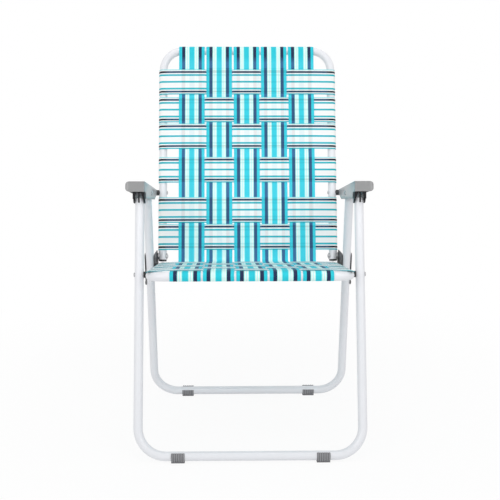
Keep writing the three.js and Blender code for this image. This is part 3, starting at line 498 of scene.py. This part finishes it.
# A tube wall: rings out along the path at the outer radius and back at the inner one
def tubePiece(name, corners, bend, body, node):
    centre, tangent = bentPath(corners, bend, tube["bendSteps"])
    flat = unit(np.cross(tangent[0], tangent[len(tangent) // 2]))
    side = np.cross(flat, tangent)
    angle = np.linspace(0, 2 * math.pi, tube["sides"], endpoint=False)
    ring = np.cos(angle)[None, :, None] * side[:, None] + np.sin(angle)[None, :, None] * flat
    outer = centre[:, None] + tube["radius"] * ring
    inner = centre[:, None] + (tube["radius"] - tube["wall"]) * ring
    points = np.concatenate([outer, inner[::-1]]).reshape(-1, 3)
    obj = outwards(newMesh(name, points, ringFaces(2 * len(centre), tube["sides"], True)))
    return dress(obj, body, node, "tube_paint")


# The corners of a U: its ends and its cross bar, each with its half width
def uFrame(end, corner, halfEnd, halfCorner):
    return [at(-halfEnd, end), at(-halfCorner, corner), at(halfCorner, corner), at(halfEnd, end)]


def makeTubes():
    backCorners = uFrame(backTail, backTop, backTube["half"], backTube["half"])
    tubePiece("backTube", backCorners, backTube["bend"], "back", "back_frame")
    seatCorners = uFrame(seatRear, seatFront, seatTube["rear"], seatTube["front"])
    tubePiece("seatTube", seatCorners, seatTube["bend"], "seat", "seat_frame")
    for end, pivot, bar in (("front", frontArmPivot, frontBar), ("rear", rearLegPivot, rearBar)):
        top = pivot + unit(pivot - bar) * legTubes["overhang"]
        corners = uFrame(top, bar, legTubes["half"], legTubes["half"])
        tubePiece(end + "LegTube", corners, legTubes["bend"], end + "_legs", end + "_leg_frame")


makeTubes()
print("chair: tubes made")

# Webbing: rows are reaches along the back and the seat, turns are degrees of wrap round a tube, and shifts go
# sideways. A strap hangs free from freeGap inside a tube's side, in full after freeOver. Where no strap lies
# below, the count is gapCount
webbing = {
    "width": strapWidth, "thick": 0.0012, "crossSteps": 14, "thinEdge": 0.55, "sharpAngle": 60,
    "pitch": 0.070, "columns": 5, "backShift": -0.002, "seatShift": 0.003,
    "backRows": [0.447011, 0.374491, 0.305486, 0.219017, 0.115992, 0.047498],
    "seatRows": [0.036, 0.106, 0.1755, 0.245, 0.3145],
    "rise": 0.0116, "layer": 0.0008, "margin": 0.0005, "runStep": 0.004, "easePoints": 6,
    "gap": 0.00035, "turn": 150, "cornerTurn": 40, "wrapSteps": 18,
    "leastStep": 2e-4, "smoothing": 3, "creasePull": 0.96, "creaseSteps": 41,
    "freeGap": 0.001, "freeOver": 0.004, "gapCount": -0.5, "flareFrom": 0.18, "flareOver": 0.02,
    "blendStart": 0.012, "blendEnd": 0.352,
}


# A strap lies one layer above or below the middle level, by turns
def strapLevel(row, column, cross):
    crossOver = (row + column) % 2 == 0
    return webbing["rise"] + webbing["layer"] * (1 if cross == crossOver else -1)


# An arc round a tube from its top, outwards and down
def wrapArc(centre, outward, turn):
    radius = tube["radius"] + webbing["gap"] + webbing["thick"] / 2
    angle = math.pi / 2 - np.linspace(0, math.radians(turn), webbing["wrapSteps"] + 1)
    return np.stack([centre + outward * radius * np.cos(angle), radius * np.sin(angle)], axis=1)


# Flat stretches at each crossing, eased into one another: height follows a half cosine between them
def wovenRun(stations):
    half, margin = webbing["width"] / 2, webbing["margin"]
    reach = np.concatenate([[m - half - margin, m + half + margin] for m, _ in stations])
    level = np.repeat([h for _, h in stations], 2)
    steps = np.arange(reach[0], reach[-1], webbing["runStep"])
    changes = [np.linspace(a, b, webbing["easePoints"]) for a, b in zip(reach[1:-1:2], reach[2::2])]
    fine = np.unique(np.concatenate([reach, steps, *changes]))
    index = np.clip(np.searchsorted(reach, fine, side="right") - 1, 0, len(reach) - 2)
    share = (fine - reach[index]) / (reach[index + 1] - reach[index])
    eased = 0.5 - 0.5 * np.cos(np.pi * share)
    return np.stack([fine, level[index] + (level[index + 1] - level[index]) * eased], axis=1)


# True for each point that stands apart from the one before
def standsApart(line):
    return np.concatenate([[True], np.linalg.norm(np.diff(line, axis=0), axis=1) > webbing["leastStep"]])


# Sharp joints between wraps and runs are rounded by averaging each point with its neighbours
def smoothed(line):
    for _ in range(webbing["smoothing"]):
        inner = 0.5 * line[1:-1] + 0.25 * (line[:-2] + line[2:])
        line = np.concatenate([line[:1], inner, line[-1:]])
    return line


# The run along a plane line, turned by a quarter
def normalsOf(line):
    run = np.gradient(line, axis=0)
    run /= np.linalg.norm(run, axis=1)[:, None]
    return np.stack([-run[:, 1], run[:, 0]], axis=1)


# The ends of the seat's cross straps follow the rails, which stand wider apart towards the rear
def flareEnds(points, middle, run, slope):
    forward = (points[..., 1] - middle[0]) * run[0] + (points[..., 2] - middle[1]) * run[1]
    weight = np.clip((np.abs(points[..., 0]) - webbing["flareFrom"]) / webbing["flareOver"], 0, 1)
    points[..., 0] += np.sign(points[..., 0]) * slope * forward * weight


# A strap: its section, a flat band with thinner edges, carried along a centre line. One map holds the share
# of the width and the metres along, the other the count of straps below and how freely the strap hangs
def strapPiece(name, centre, rise, across, below, free, flare=None):
    half = webbing["width"] / 2
    share = np.linspace(-1, 1, webbing["crossSteps"] + 1)
    thin = np.where(np.abs(share) == 1, webbing["thinEdge"], 1.0) * webbing["thick"] / 2
    upper = np.stack([share * half, thin], axis=1)
    section = np.concatenate([upper, upper[::-1] * [1, -1]])
    uvAcross = np.concatenate([share, share[::-1]]) * 0.5 + 0.5
    rings, sides = len(centre), len(section)
    points = centre[:, None] + section[None, :, 0:1] * across + section[None, :, 1:2] * rise[:, None]
    if flare:
        flareEnds(points, *flare)
    length = np.concatenate([[0], np.cumsum(np.linalg.norm(np.diff(centre, axis=0), axis=1))])
    grid = np.ones((rings, sides))
    maps = {"strapUv": np.stack([grid * uvAcross, grid * length[:, None]], axis=-1),
            "belowUv": np.stack([grid * below[:, None], grid * free[:, None]], axis=-1)}
    faces = ringFaces(rings, sides, False)
    faces.append(list(range(sides)))
    faces.append([(rings - 1) * sides + k for k in range(sides)][::-1])
    return outwards(newMesh(name, points.reshape(-1, 3), faces, maps, webbing["sharpAngle"]), merge=False)


# Counts two for each crossing strap, one across its width and one over the gap to the next
def belowCount(reach, middles):
    half, gap = webbing["width"] / 2, webbing["gapCount"]
    edges = np.concatenate([[m - half, m + half] for m in middles])
    return np.interp(reach, edges, np.arange(len(edges)), left=gap, right=len(edges) + gap)


# 1 where the strap hangs free, 0 over a tube, evenly in between. Past is the reach beyond the tube's axis
def freeOfTube(past):
    return np.clip((-past - tube["radius"] + webbing["freeGap"]) / webbing["freeOver"], 0, 1)


def columnX(column, shift):
    return (column - (webbing["columns"] - 1) / 2) * webbing["pitch"] + shift


# The long straps drift sideways along the seat, evenly from its first cross strap to its last
def seatShiftAt(reach):
    ends = [webbing["seatRows"][0], webbing["seatRows"][-1]]
    return np.interp(reach, ends, [webbing["seatShift"], webbing["backShift"]])


# A smooth curve of the third degree from the seat to the back, pulled to where their two planes meet
def creaseCurve(a, b):
    cross = np.linalg.solve(np.stack([seatRun, backRun], axis=1), b - a)
    corner = a + seatRun * cross[0]
    pull = webbing["creasePull"]
    near, far = a + (corner - a) * pull, b + (corner - b) * pull
    t = np.linspace(0, 1, webbing["creaseSteps"] + 1)[1:-1, None]
    return (1 - t) ** 3 * a + 3 * (1 - t) ** 2 * t * near + 3 * (1 - t) * t**2 * far + t**3 * b


# The long strap runs over the seat's front bar, through the crease, up the back and over the top tube
def makeLongStrap(column):
    backRows, seatRows, top = webbing["backRows"][::-1], webbing["seatRows"], backTube["top"]
    backStations = [(m, strapLevel(r, column, False)) for r, m in enumerate(webbing["backRows"])][::-1]
    seatStations = [(m, strapLevel(r, column, False)) for r, m in enumerate(seatRows)]
    backLine = np.concatenate([wovenRun(backStations), wrapArc(top, 1, webbing["turn"])])
    seatLine = np.concatenate([wrapArc(0, -1, webbing["turn"])[::-1], wovenRun(seatStations)])
    backPlane = seatPivot + backLine[:, 0:1] * backRun + backLine[:, 1:2] * backRise
    seatPlane = seatFront + seatLine[:, 0:1] * seatRun + seatLine[:, 1:2] * seatRise
    crease = creaseCurve(seatPlane[-1], backPlane[0])
    line = np.concatenate([seatPlane, crease, backPlane])
    keep = standsApart(line)
    seatReach, backReach, bend = seatLine[:, 0], backLine[:, 0], len(crease)
    noStrap = np.full(bend, webbing["gapCount"])
    below = [belowCount(seatReach, seatRows), noStrap, belowCount(backReach, backRows)]
    free = [freeOfTube(-seatReach), np.ones(bend), freeOfTube(backReach - top)]
    shift = [seatShiftAt(seatReach), np.full(bend + len(backReach), webbing["backShift"])]
    below, free, shift = (np.concatenate(parts)[keep] for parts in (below, free, shift))
    line = smoothed(line[keep])
    centre = np.concatenate([columnX(column, shift)[:, None], line], axis=1)
    rise = np.concatenate([np.zeros((len(line), 1)), normalsOf(line)], axis=1)
    obj = strapPiece(f"longStrap{column + 1}", centre, rise, np.array([1.0, 0, 0]), below, free)
    paint(obj, "long_webbing")
    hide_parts(f"back_strap_long_{column + 1}", f"seat_strap_long_{column + 1}")
    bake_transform(obj)


# A cross strap wraps both side tubes, and its line stands across the plane of the back or of the seat
def makeCrossStrap(body, row, reach, origin, run, rise):
    onSeat = body == "seat"
    slope = (seatTube["rear"] - seatTube["front"]) / seatTube["length"]
    half = seatTube["front"] + slope * reach if onSeat else backTube["half"]
    turn = webbing["cornerTurn"] if onSeat and row == 0 else webbing["turn"]
    shift = seatShiftAt(reach) if onSeat else webbing["backShift"]
    columns = [(columnX(c, shift), strapLevel(row, c, True)) for c in range(webbing["columns"])]
    line = np.concatenate([wrapArc(-half, -1, turn)[::-1], wovenRun(columns), wrapArc(half, 1, turn)])
    line = smoothed(line[standsApart(line)])
    below = belowCount(line[:, 0], [x for x, _ in columns])
    free = freeOfTube(np.abs(line[:, 0]) - half)
    middle = origin + run * reach
    up = line[:, 1]
    centre = np.stack([line[:, 0], middle[0] + up * rise[0], middle[1] + up * rise[1]], axis=1)
    normal = normalsOf(line)
    out = np.stack([normal[:, 0], normal[:, 1] * rise[0], normal[:, 1] * rise[1]], axis=1)
    flare = (middle, run, slope) if onSeat else None
    obj = strapPiece(f"{body}CrossStrap{row + 1}", centre, out, at(0, run), below, free, flare)
    dress(obj, body, f"{body}_strap_cross_{row + 1}", "cross_webbing")


def makeWebbing():
    for column in range(webbing["columns"]):
        makeLongStrap(column)
    for row, reach in enumerate(webbing["backRows"]):
        makeCrossStrap("back", row, reach, seatPivot, backRun, backRise)
    for row, reach in enumerate(webbing["seatRows"]):
        makeCrossStrap("seat", row, reach, seatFront, seatRun, seatRise)


makeWebbing()
print("chair: webbing woven")

# The armrest's front: its top edge's place and slope, the reach of its outer side and of the inner skirt, and
# the rounded corner. Keep is the share of the corner's depth that stays, and last is how many corners back
# the points still move
armFront = {"place": np.array([0.141 - middleY, 0.5853]), "slope": math.radians(10.4), "outer": 0.2699,
            "inner": 0.2281, "corner": 0.0095, "keep": 0.3, "last": 1.6}
armRun = np.array([math.cos(armFront["slope"]), -math.sin(armFront["slope"])])
armRise = np.array([math.sin(armFront["slope"]), math.cos(armFront["slope"])])


# Points of the outer front corner move towards the front face, so that it stays flat out to its rounded end
def flattenedFront(points):
    along = (points[:, 1:] - armFront["place"]) @ armRun
    atSide = np.abs(points[:, 0]) > armFront["outer"] - armFront["corner"]
    moved = atSide & (along > 0) & (along < armFront["corner"] * armFront["last"])
    depth = np.clip(along, 0, armFront["corner"])
    points[:, 1:] -= (moved * depth * (1 - armFront["keep"]))[:, None] * armRun
    return points


# Formed pieces keep their solids' shape, apart from the armrest's front corner. Their facets are joined and
# their edges rounded by a bevel. Angles are in degrees
softening = {"segments": 3, "bevelAngle": 30, "flatAngle": 1.5, "sharpAngle": 50}
formed = {
    "armrest": {"slot": "arm_moulding", "bevel": 0.0009, "shape": flattenedFront},
    "arm_stop_bracket": {"slot": "bracket_paint", "bevel": 0.0003, "look": "stop_paint"},
    "link_bracket": {"slot": "bracket_paint", "bevel": 0.00035},
    "seat_hinge_plate": {"slot": "bracket_paint", "bevel": 0.00035},
}


# A copy of a solid's mesh, reshaped where asked, merged and given its bevel
def softenedCopy(name, node, form):
    source = frame["nodes"][node]
    obj = bpy.data.objects.new(name, source.data.copy())
    bpy.context.scene.collection.objects.link(obj)
    if "shape" in form:
        points = np.empty(len(obj.data.vertices) * 3)
        obj.data.vertices.foreach_get("co", points)
        obj.data.vertices.foreach_set("co", form["shape"](points.reshape(-1, 3)).ravel())
    work = bmesh.new()
    work.from_mesh(obj.data)
    bmesh.ops.remove_doubles(work, verts=work.verts, dist=meshing["mergeDistance"])
    flatAngle = math.radians(softening["flatAngle"])
    bmesh.ops.dissolve_limit(work, angle_limit=flatAngle, verts=work.verts, edges=work.edges)
    work.to_mesh(obj.data)
    work.free()
    bevel = obj.modifiers.new("edges", "BEVEL")
    bevel.width = form["bevel"]
    bevel.segments = softening["segments"]
    bevel.limit_method = "ANGLE"
    bevel.angle_limit = math.radians(softening["bevelAngle"])
    obj.data.shade_smooth()
    obj.data.set_sharp_from_angle(angle=math.radians(softening["sharpAngle"]))
    dress(obj, source["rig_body"], node, form["slot"], form.get("look"))


for kind, form in formed.items():
    for side in ("left", "right"):
        name = capitalised(kind, side)
        softenedCopy(name[0].lower() + name[1:], f"{kind}_{side}", form)


# Where a small solid lies: its reach along X, the end near the middle first, and the middle of its section
def placeOf(node):
    source = frame["nodes"][node]
    co = np.empty(len(source.data.vertices) * 3)
    source.data.vertices.foreach_get("co", co)
    co = co.reshape(-1, 3)
    low, high = co.min(axis=0), co.max(axis=0)
    near, far = sorted((low[0], high[0]), key=abs)
    return near, far, (low + high)[1:] / 2


# Pins: the kind of head at the inner end and at the outer one, or none where the end stays inside a piece
pins = {
    "shank": 0.003, "chamfer": 0.0003, "head": 0.005,
    "domeHeight": 0.0022, "domeShare": 0.86, "domePoints": 7, "flatHeight": 0.0009, "flatPoints": 4,
    "heads": {
        "front_arm_pin": ("flat", "dome"), "rear_leg_pin": ("flat", "dome"), "seat_leg_pin": ("dome", "dome"),
        "back_arm_pin": ("dome", ""), "seat_hinge_pin": ("dome", ""),
    },
}


# The profile of a pin's end: an ellipse's quarter from the crown to the rim, a short straight rim down to its
# seat, then in to the shank. Without a head it is a chamfered end
def pinEnd(head):
    radius, shank, chamfer = pins["head"], pins["shank"], pins["chamfer"]
    if not head:
        return np.array([[0, 0], [shank - chamfer, 0], [shank, chamfer]])
    height = pins[head + "Height"]
    turn = np.linspace(0, math.pi / 2, pins[head + "Points"])
    share = pins["domeShare"] if head == "dome" else 1
    dome = np.stack([radius * np.sin(turn), height * (1 - np.cos(turn)) * share], axis=1)
    return np.concatenate([dome, [[radius, height], [shank, height]]])


def makePins():
    for kind, (inner, outer) in pins["heads"].items():
        for side in ("left", "right"):
            node = f"{kind}_{side}"
            near, far, middle = placeOf(node)
            end = pinEnd(outer)
            end = np.stack([end[:, 0], abs(far - near) - end[:, 1]], axis=1)[::-1]
            profile = np.concatenate([pinEnd(inner), end])
            axis = (np.sign(far), 0, 0)
            turnedPiece(capitalised(kind, side), profile, (near, *middle), axis, node, "pin_metal")


# Two small round studs on each armrest's inner skirt, placed along the arm and below its top
skirtStuds = {"radius": 0.0016, "height": 0.0005, "sunk": 0.0004, "along": 0.1645, "below": (0.0139, 0.0203),
              "sides": 24, "rimPoints": 5}


# The stud's profile: a flat crown, a quarter circle down to the rim and a straight side into the skirt
def makeSkirtStuds():
    radius, height, sunk = (skirtStuds[k] for k in ("radius", "height", "sunk"))
    turn = np.linspace(0, math.pi / 2, skirtStuds["rimPoints"])
    rim = np.stack([radius - height * (1 - np.sin(turn)), height * np.cos(turn)], axis=1)
    profile = np.concatenate([[[0, height]], rim, [[radius, -sunk], [0, -sunk]]])
    for sign, side in ((-1, "left"), (1, "right")):
        for k, below in enumerate(skirtStuds["below"]):
            place = armFront["place"] + armRun * skirtStuds["along"] - armRise * below
            base = at(sign * armFront["inner"], place)
            name = f"armSkirtStud{side.capitalize()}{k + 1}"
            turnedPiece(name, profile, base, (-sign, 0, 0), "armrest_" + side, "bracket_paint", "stop_paint",
                        sides=skirtStuds["sides"], stands=False)


# A plug: a stem inside the tube, then a rim as wide as the tube that rounds over to a flat crown
plugs = {"stem": 0.0083, "depth": 0.005, "seat": 0.00015, "rim": 0.0036, "round": 0.0020, "roundPoints": 7}


def makePlugs():
    stem, depth, seat, rim, curve = (plugs[k] for k in ("stem", "depth", "seat", "rim", "round"))
    radius = tube["radius"]
    turn = np.linspace(0, math.pi / 2, plugs["roundPoints"])
    rounded = np.stack([radius - curve * (1 - np.cos(turn)), rim - curve * (1 - np.sin(turn))], axis=1)
    inside = [[0, -depth], [stem, -depth], [stem, seat], [radius, seat]]
    profile = np.concatenate([inside, rounded, [[0, rim]]])
    for sign, side in ((-1, "left"), (1, "right")):
        tail = at(sign * backTube["half"], backTail)
        rear = at(sign * seatTube["rear"], seatRear)
        railAxis = rear - at(sign * seatTube["front"], seatFront)
        for kind, end, axis in (("back_tube_plug", tail, (0, *-backRun)), ("seat_tube_plug", rear, railAxis)):
            turnedPiece(capitalised(kind, side), profile, end, axis, f"{kind}_{side}", "black_plastic")


# A bush between seat rail and leg: a bored sleeve with grooves round it, each half a wave raised to a power
bush = {"outer": 0.007, "bore": 0.0034, "groove": 0.0004, "ribs": 5, "ribSteps": 8, "power": 0.7}


def makeBushes():
    for side in ("left", "right"):
        near, far, middle = placeOf(f"seat_leg_bush_{side}")
        length = abs(far - near)
        reach = np.linspace(0, length, bush["ribSteps"] * bush["ribs"] + 1)
        wave = np.maximum(0, -np.cos(2 * math.pi * bush["ribs"] * reach / length)) ** bush["power"]
        outer = np.stack([bush["outer"] - bush["groove"] * wave, reach], axis=1)
        profile = np.concatenate([[[bush["bore"], 0]], outer, [[bush["bore"], length]]])
        turnedPiece("seatLegBush" + side.capitalize(), profile, (near, *middle), (np.sign(far), 0, 0),
                    f"seat_leg_bush_{side}", "black_plastic", bored=True)


# A foot: a ring round the floor bar with a flat pad below and ribs across its outside. The mouth is the open
# stretch of the ring, in degrees up from the inward side, and the painted shade under the sole reaches up to
# its height
feet = {
    "outer": 0.0127, "bore": 0.0103, "length": 0.0285, "pad": 0.0075, "padTurn": 1.2, "leastSine": 1e-3,
    "ribs": 6, "rib": 0.0011, "ribSteps": 8, "mouth": {"front": (0, 127), "rear": (20, 120)}, "steps": 60,
    "spacing": 0.155, "sole": 0.004,
}


# The pad's reach from the bar's axis at each angle: its flat underside, then its upright side, and none above
def padReach(angle):
    down = np.abs(np.angle(np.exp(1j * (angle + math.pi / 2))))
    flat = barHeight / np.cos(np.clip(down, 0, feet["padTurn"]))
    side = feet["pad"] / np.maximum(np.sin(down), feet["leastSine"])
    return np.where(down < math.pi / 2, np.minimum(flat, side), 0)


# Rings of points stand along the bar: outwards round the ribs and the pad, then back along the bore
def makeFoot(end, bar, inward, side, sign):
    station = np.linspace(0, 1, feet["ribSteps"] * feet["ribs"] + 1)
    wave = 0.5 + 0.5 * np.cos(2 * math.pi * feet["ribs"] * station)
    mouthStart, mouthEnd = feet["mouth"][end]
    angle = np.radians(np.linspace(mouthEnd, mouthStart + 360, feet["steps"] + 1))
    outer = np.maximum((feet["outer"] - feet["rib"] * wave)[:, None], padReach(angle)[None])
    bore = np.full_like(outer, feet["bore"])
    radius = np.concatenate([outer, bore[:, ::-1]], axis=1)
    around = np.concatenate([angle, angle[::-1]])
    x = sign * feet["spacing"] + feet["length"] * (station - 0.5)
    y = bar[0] + inward * radius * np.cos(around)
    z = bar[1] + radius * np.sin(around)
    points = np.stack([np.broadcast_to(x[:, None], y.shape), y, z], axis=-1)
    rings, sides = y.shape
    faces = ringFaces(rings, sides, False)
    for ring, order in ((0, 1), (rings - 1, -1)):
        first, last = ring * sides, (ring + 1) * sides - 1
        caps = [[first + a, first + a + 1, last - 1 - a, last - a] for a in range(feet["steps"])]
        faces += [quad[::order] for quad in caps]
    # Shares of painted shade: in the grooves between the ribs, and under the sole up to its height
    groove = np.broadcast_to(wave[:, None], y.shape)
    under = np.clip(1 - z / feet["sole"], 0, 1)
    maps = {"ribUv": np.stack([groove, under], axis=-1)}
    obj = outwards(newMesh(end + "Foot" + side.capitalize(), points.reshape(-1, 3), faces, maps))
    dress(obj, end + "_legs", f"{end}_foot_{side}", "foot_moulding")


def makeFeet():
    for end, bar, inward in (("front", frontBar, 1), ("rear", rearBar, -1)):
        for sign, side in ((-1, "left"), (1, "right")):
            makeFoot(end, bar, inward, side, sign)


makePins()
makeSkirtStuds()
makePlugs()
makeBushes()
makeFeet()

# The saddles and spacers keep their solids and take the finishes
slotOf = {part["node"]: part["material_slot"] for part in frame["record"]["subparts"]}
for node, obj in frame["nodes"].items():
    if not obj.hide_render:
        paint(obj, slotOf[node])
print("chair: small parts made")

# Floor and world, then the lamps: name, place, target, size in metres, spread in degrees and power in watts
stageLook = {
    "floor": (0.9, 0.9, 0.9), "floorRoughness": 0.9, "floorWhite": 0.90, "size": 40.0,
    "shadowNear": 0.4, "shadowFar": 1.3, "world": (1.0, 1.0, 1.0), "worldStrength": 0.71,
}
lamps = [
    ("keyLamp", (-3.0, -5.0, 2.7), (0, 0, 0.40), 3.0, 180, 62),
    ("fillLamp", (3.1, -4.9, 2.6), (0, 0, 0.40), 3.0, 180, 55),
    ("topLamp", (0.0, -0.4, 3.0), (0, 0, 0.3), 2.2, 180, 15),
    ("seatLamp", (0.0, -1.7, 1.5), (0, 0.14, 0.50), 0.5, 22, 0.15),
]


# The turn that points a lamp's own -Z from its place to its target, with its X level
def aim(location, target):
    forward = unit(np.asarray(target, float) - np.asarray(location, float))
    right = unit(np.cross(forward, [0, 0, 1.0]))
    turn = np.eye(4)
    turn[:3] = np.stack([right, np.cross(right, forward), -forward, location], axis=1)
    return Matrix(turn.tolist())


# Plain white where the camera, a reflection or a clear surface looks straight at it, soft light elsewhere
def seenAsWhite(tree, plainShader, share, output):
    rays = tree.nodes.new("ShaderNodeLightPath")
    seen = maths(tree, "MAXIMUM", rays.outputs["Is Camera Ray"], rays.outputs["Is Glossy Ray"])
    seen = maths(tree, "MAXIMUM", seen, rays.outputs["Is Transmission Ray"])
    white = tree.nodes.new("ShaderNodeEmission")
    white.inputs["Color"].default_value = (1, 1, 1, 1)
    white.inputs["Strength"].default_value = 1.0
    mix = tree.nodes.new("ShaderNodeMixShader")
    tree.links.new(maths(tree, "MULTIPLY", seen, share), mix.inputs[0])
    tree.links.new(plainShader.outputs[0], mix.inputs[1])
    tree.links.new(white.outputs[0], mix.inputs[2])
    tree.links.new(mix.outputs[0], tree.nodes[output].inputs[0])


# A sheet that takes faint shadows near the chair and turns plain white with the distance from the origin
def makeFloor():
    half = stageLook["size"] / 2
    corners = [(-half, -half, 0), (half, -half, 0), (half, half, 0), (-half, half, 0)]
    floor = newMesh("floorSheet", corners, [[0, 1, 2, 3]])
    material, tree, shader = shaderOf("floorPaper")
    shader.inputs["Base Color"].default_value = (*stageLook["floor"], 1)
    shader.inputs["Roughness"].default_value = stageLook["floorRoughness"]
    shader.inputs["Specular IOR Level"].default_value = 0.0
    distance = tree.nodes.new("ShaderNodeVectorMath")
    distance.operation = "LENGTH"
    tree.links.new(tree.nodes.new("ShaderNodeTexCoord").outputs["Object"], distance.inputs[0])
    fade = tree.nodes.new("ShaderNodeMapRange")
    fade.interpolation_type = "SMOOTHSTEP"
    tree.links.new(distance.outputs["Value"], fade.inputs["Value"])
    fade.inputs["From Min"].default_value = stageLook["shadowNear"]
    fade.inputs["From Max"].default_value = stageLook["shadowFar"]
    fade.inputs["To Min"].default_value = stageLook["floorWhite"]
    seenAsWhite(tree, shader, fade.outputs["Result"], "Material Output")
    floor.data.materials.append(material)


def makeWorld():
    world = bpy.data.worlds.new("studio")
    bpy.context.scene.world = world
    world.use_nodes = True
    sky = world.node_tree.nodes["Background"]
    sky.inputs["Color"].default_value = (*stageLook["world"], 1)
    sky.inputs["Strength"].default_value = stageLook["worldStrength"]
    seenAsWhite(world.node_tree, sky, 1.0, "World Output")


def makeLamps():
    for name, place, target, size, spread, power in lamps:
        data = bpy.data.lights.new(name, "AREA")
        data.shape = "DISK"
        data.size = size
        data.spread = math.radians(spread)
        data.energy = power
        obj = bpy.data.objects.new(name, data)
        obj.matrix_world = aim(place, target)
        bpy.context.scene.collection.objects.link(obj)


makeFloor()
makeWorld()
makeLamps()
bpy.context.scene.view_settings.view_transform = "Standard"
print("chair: stage set")
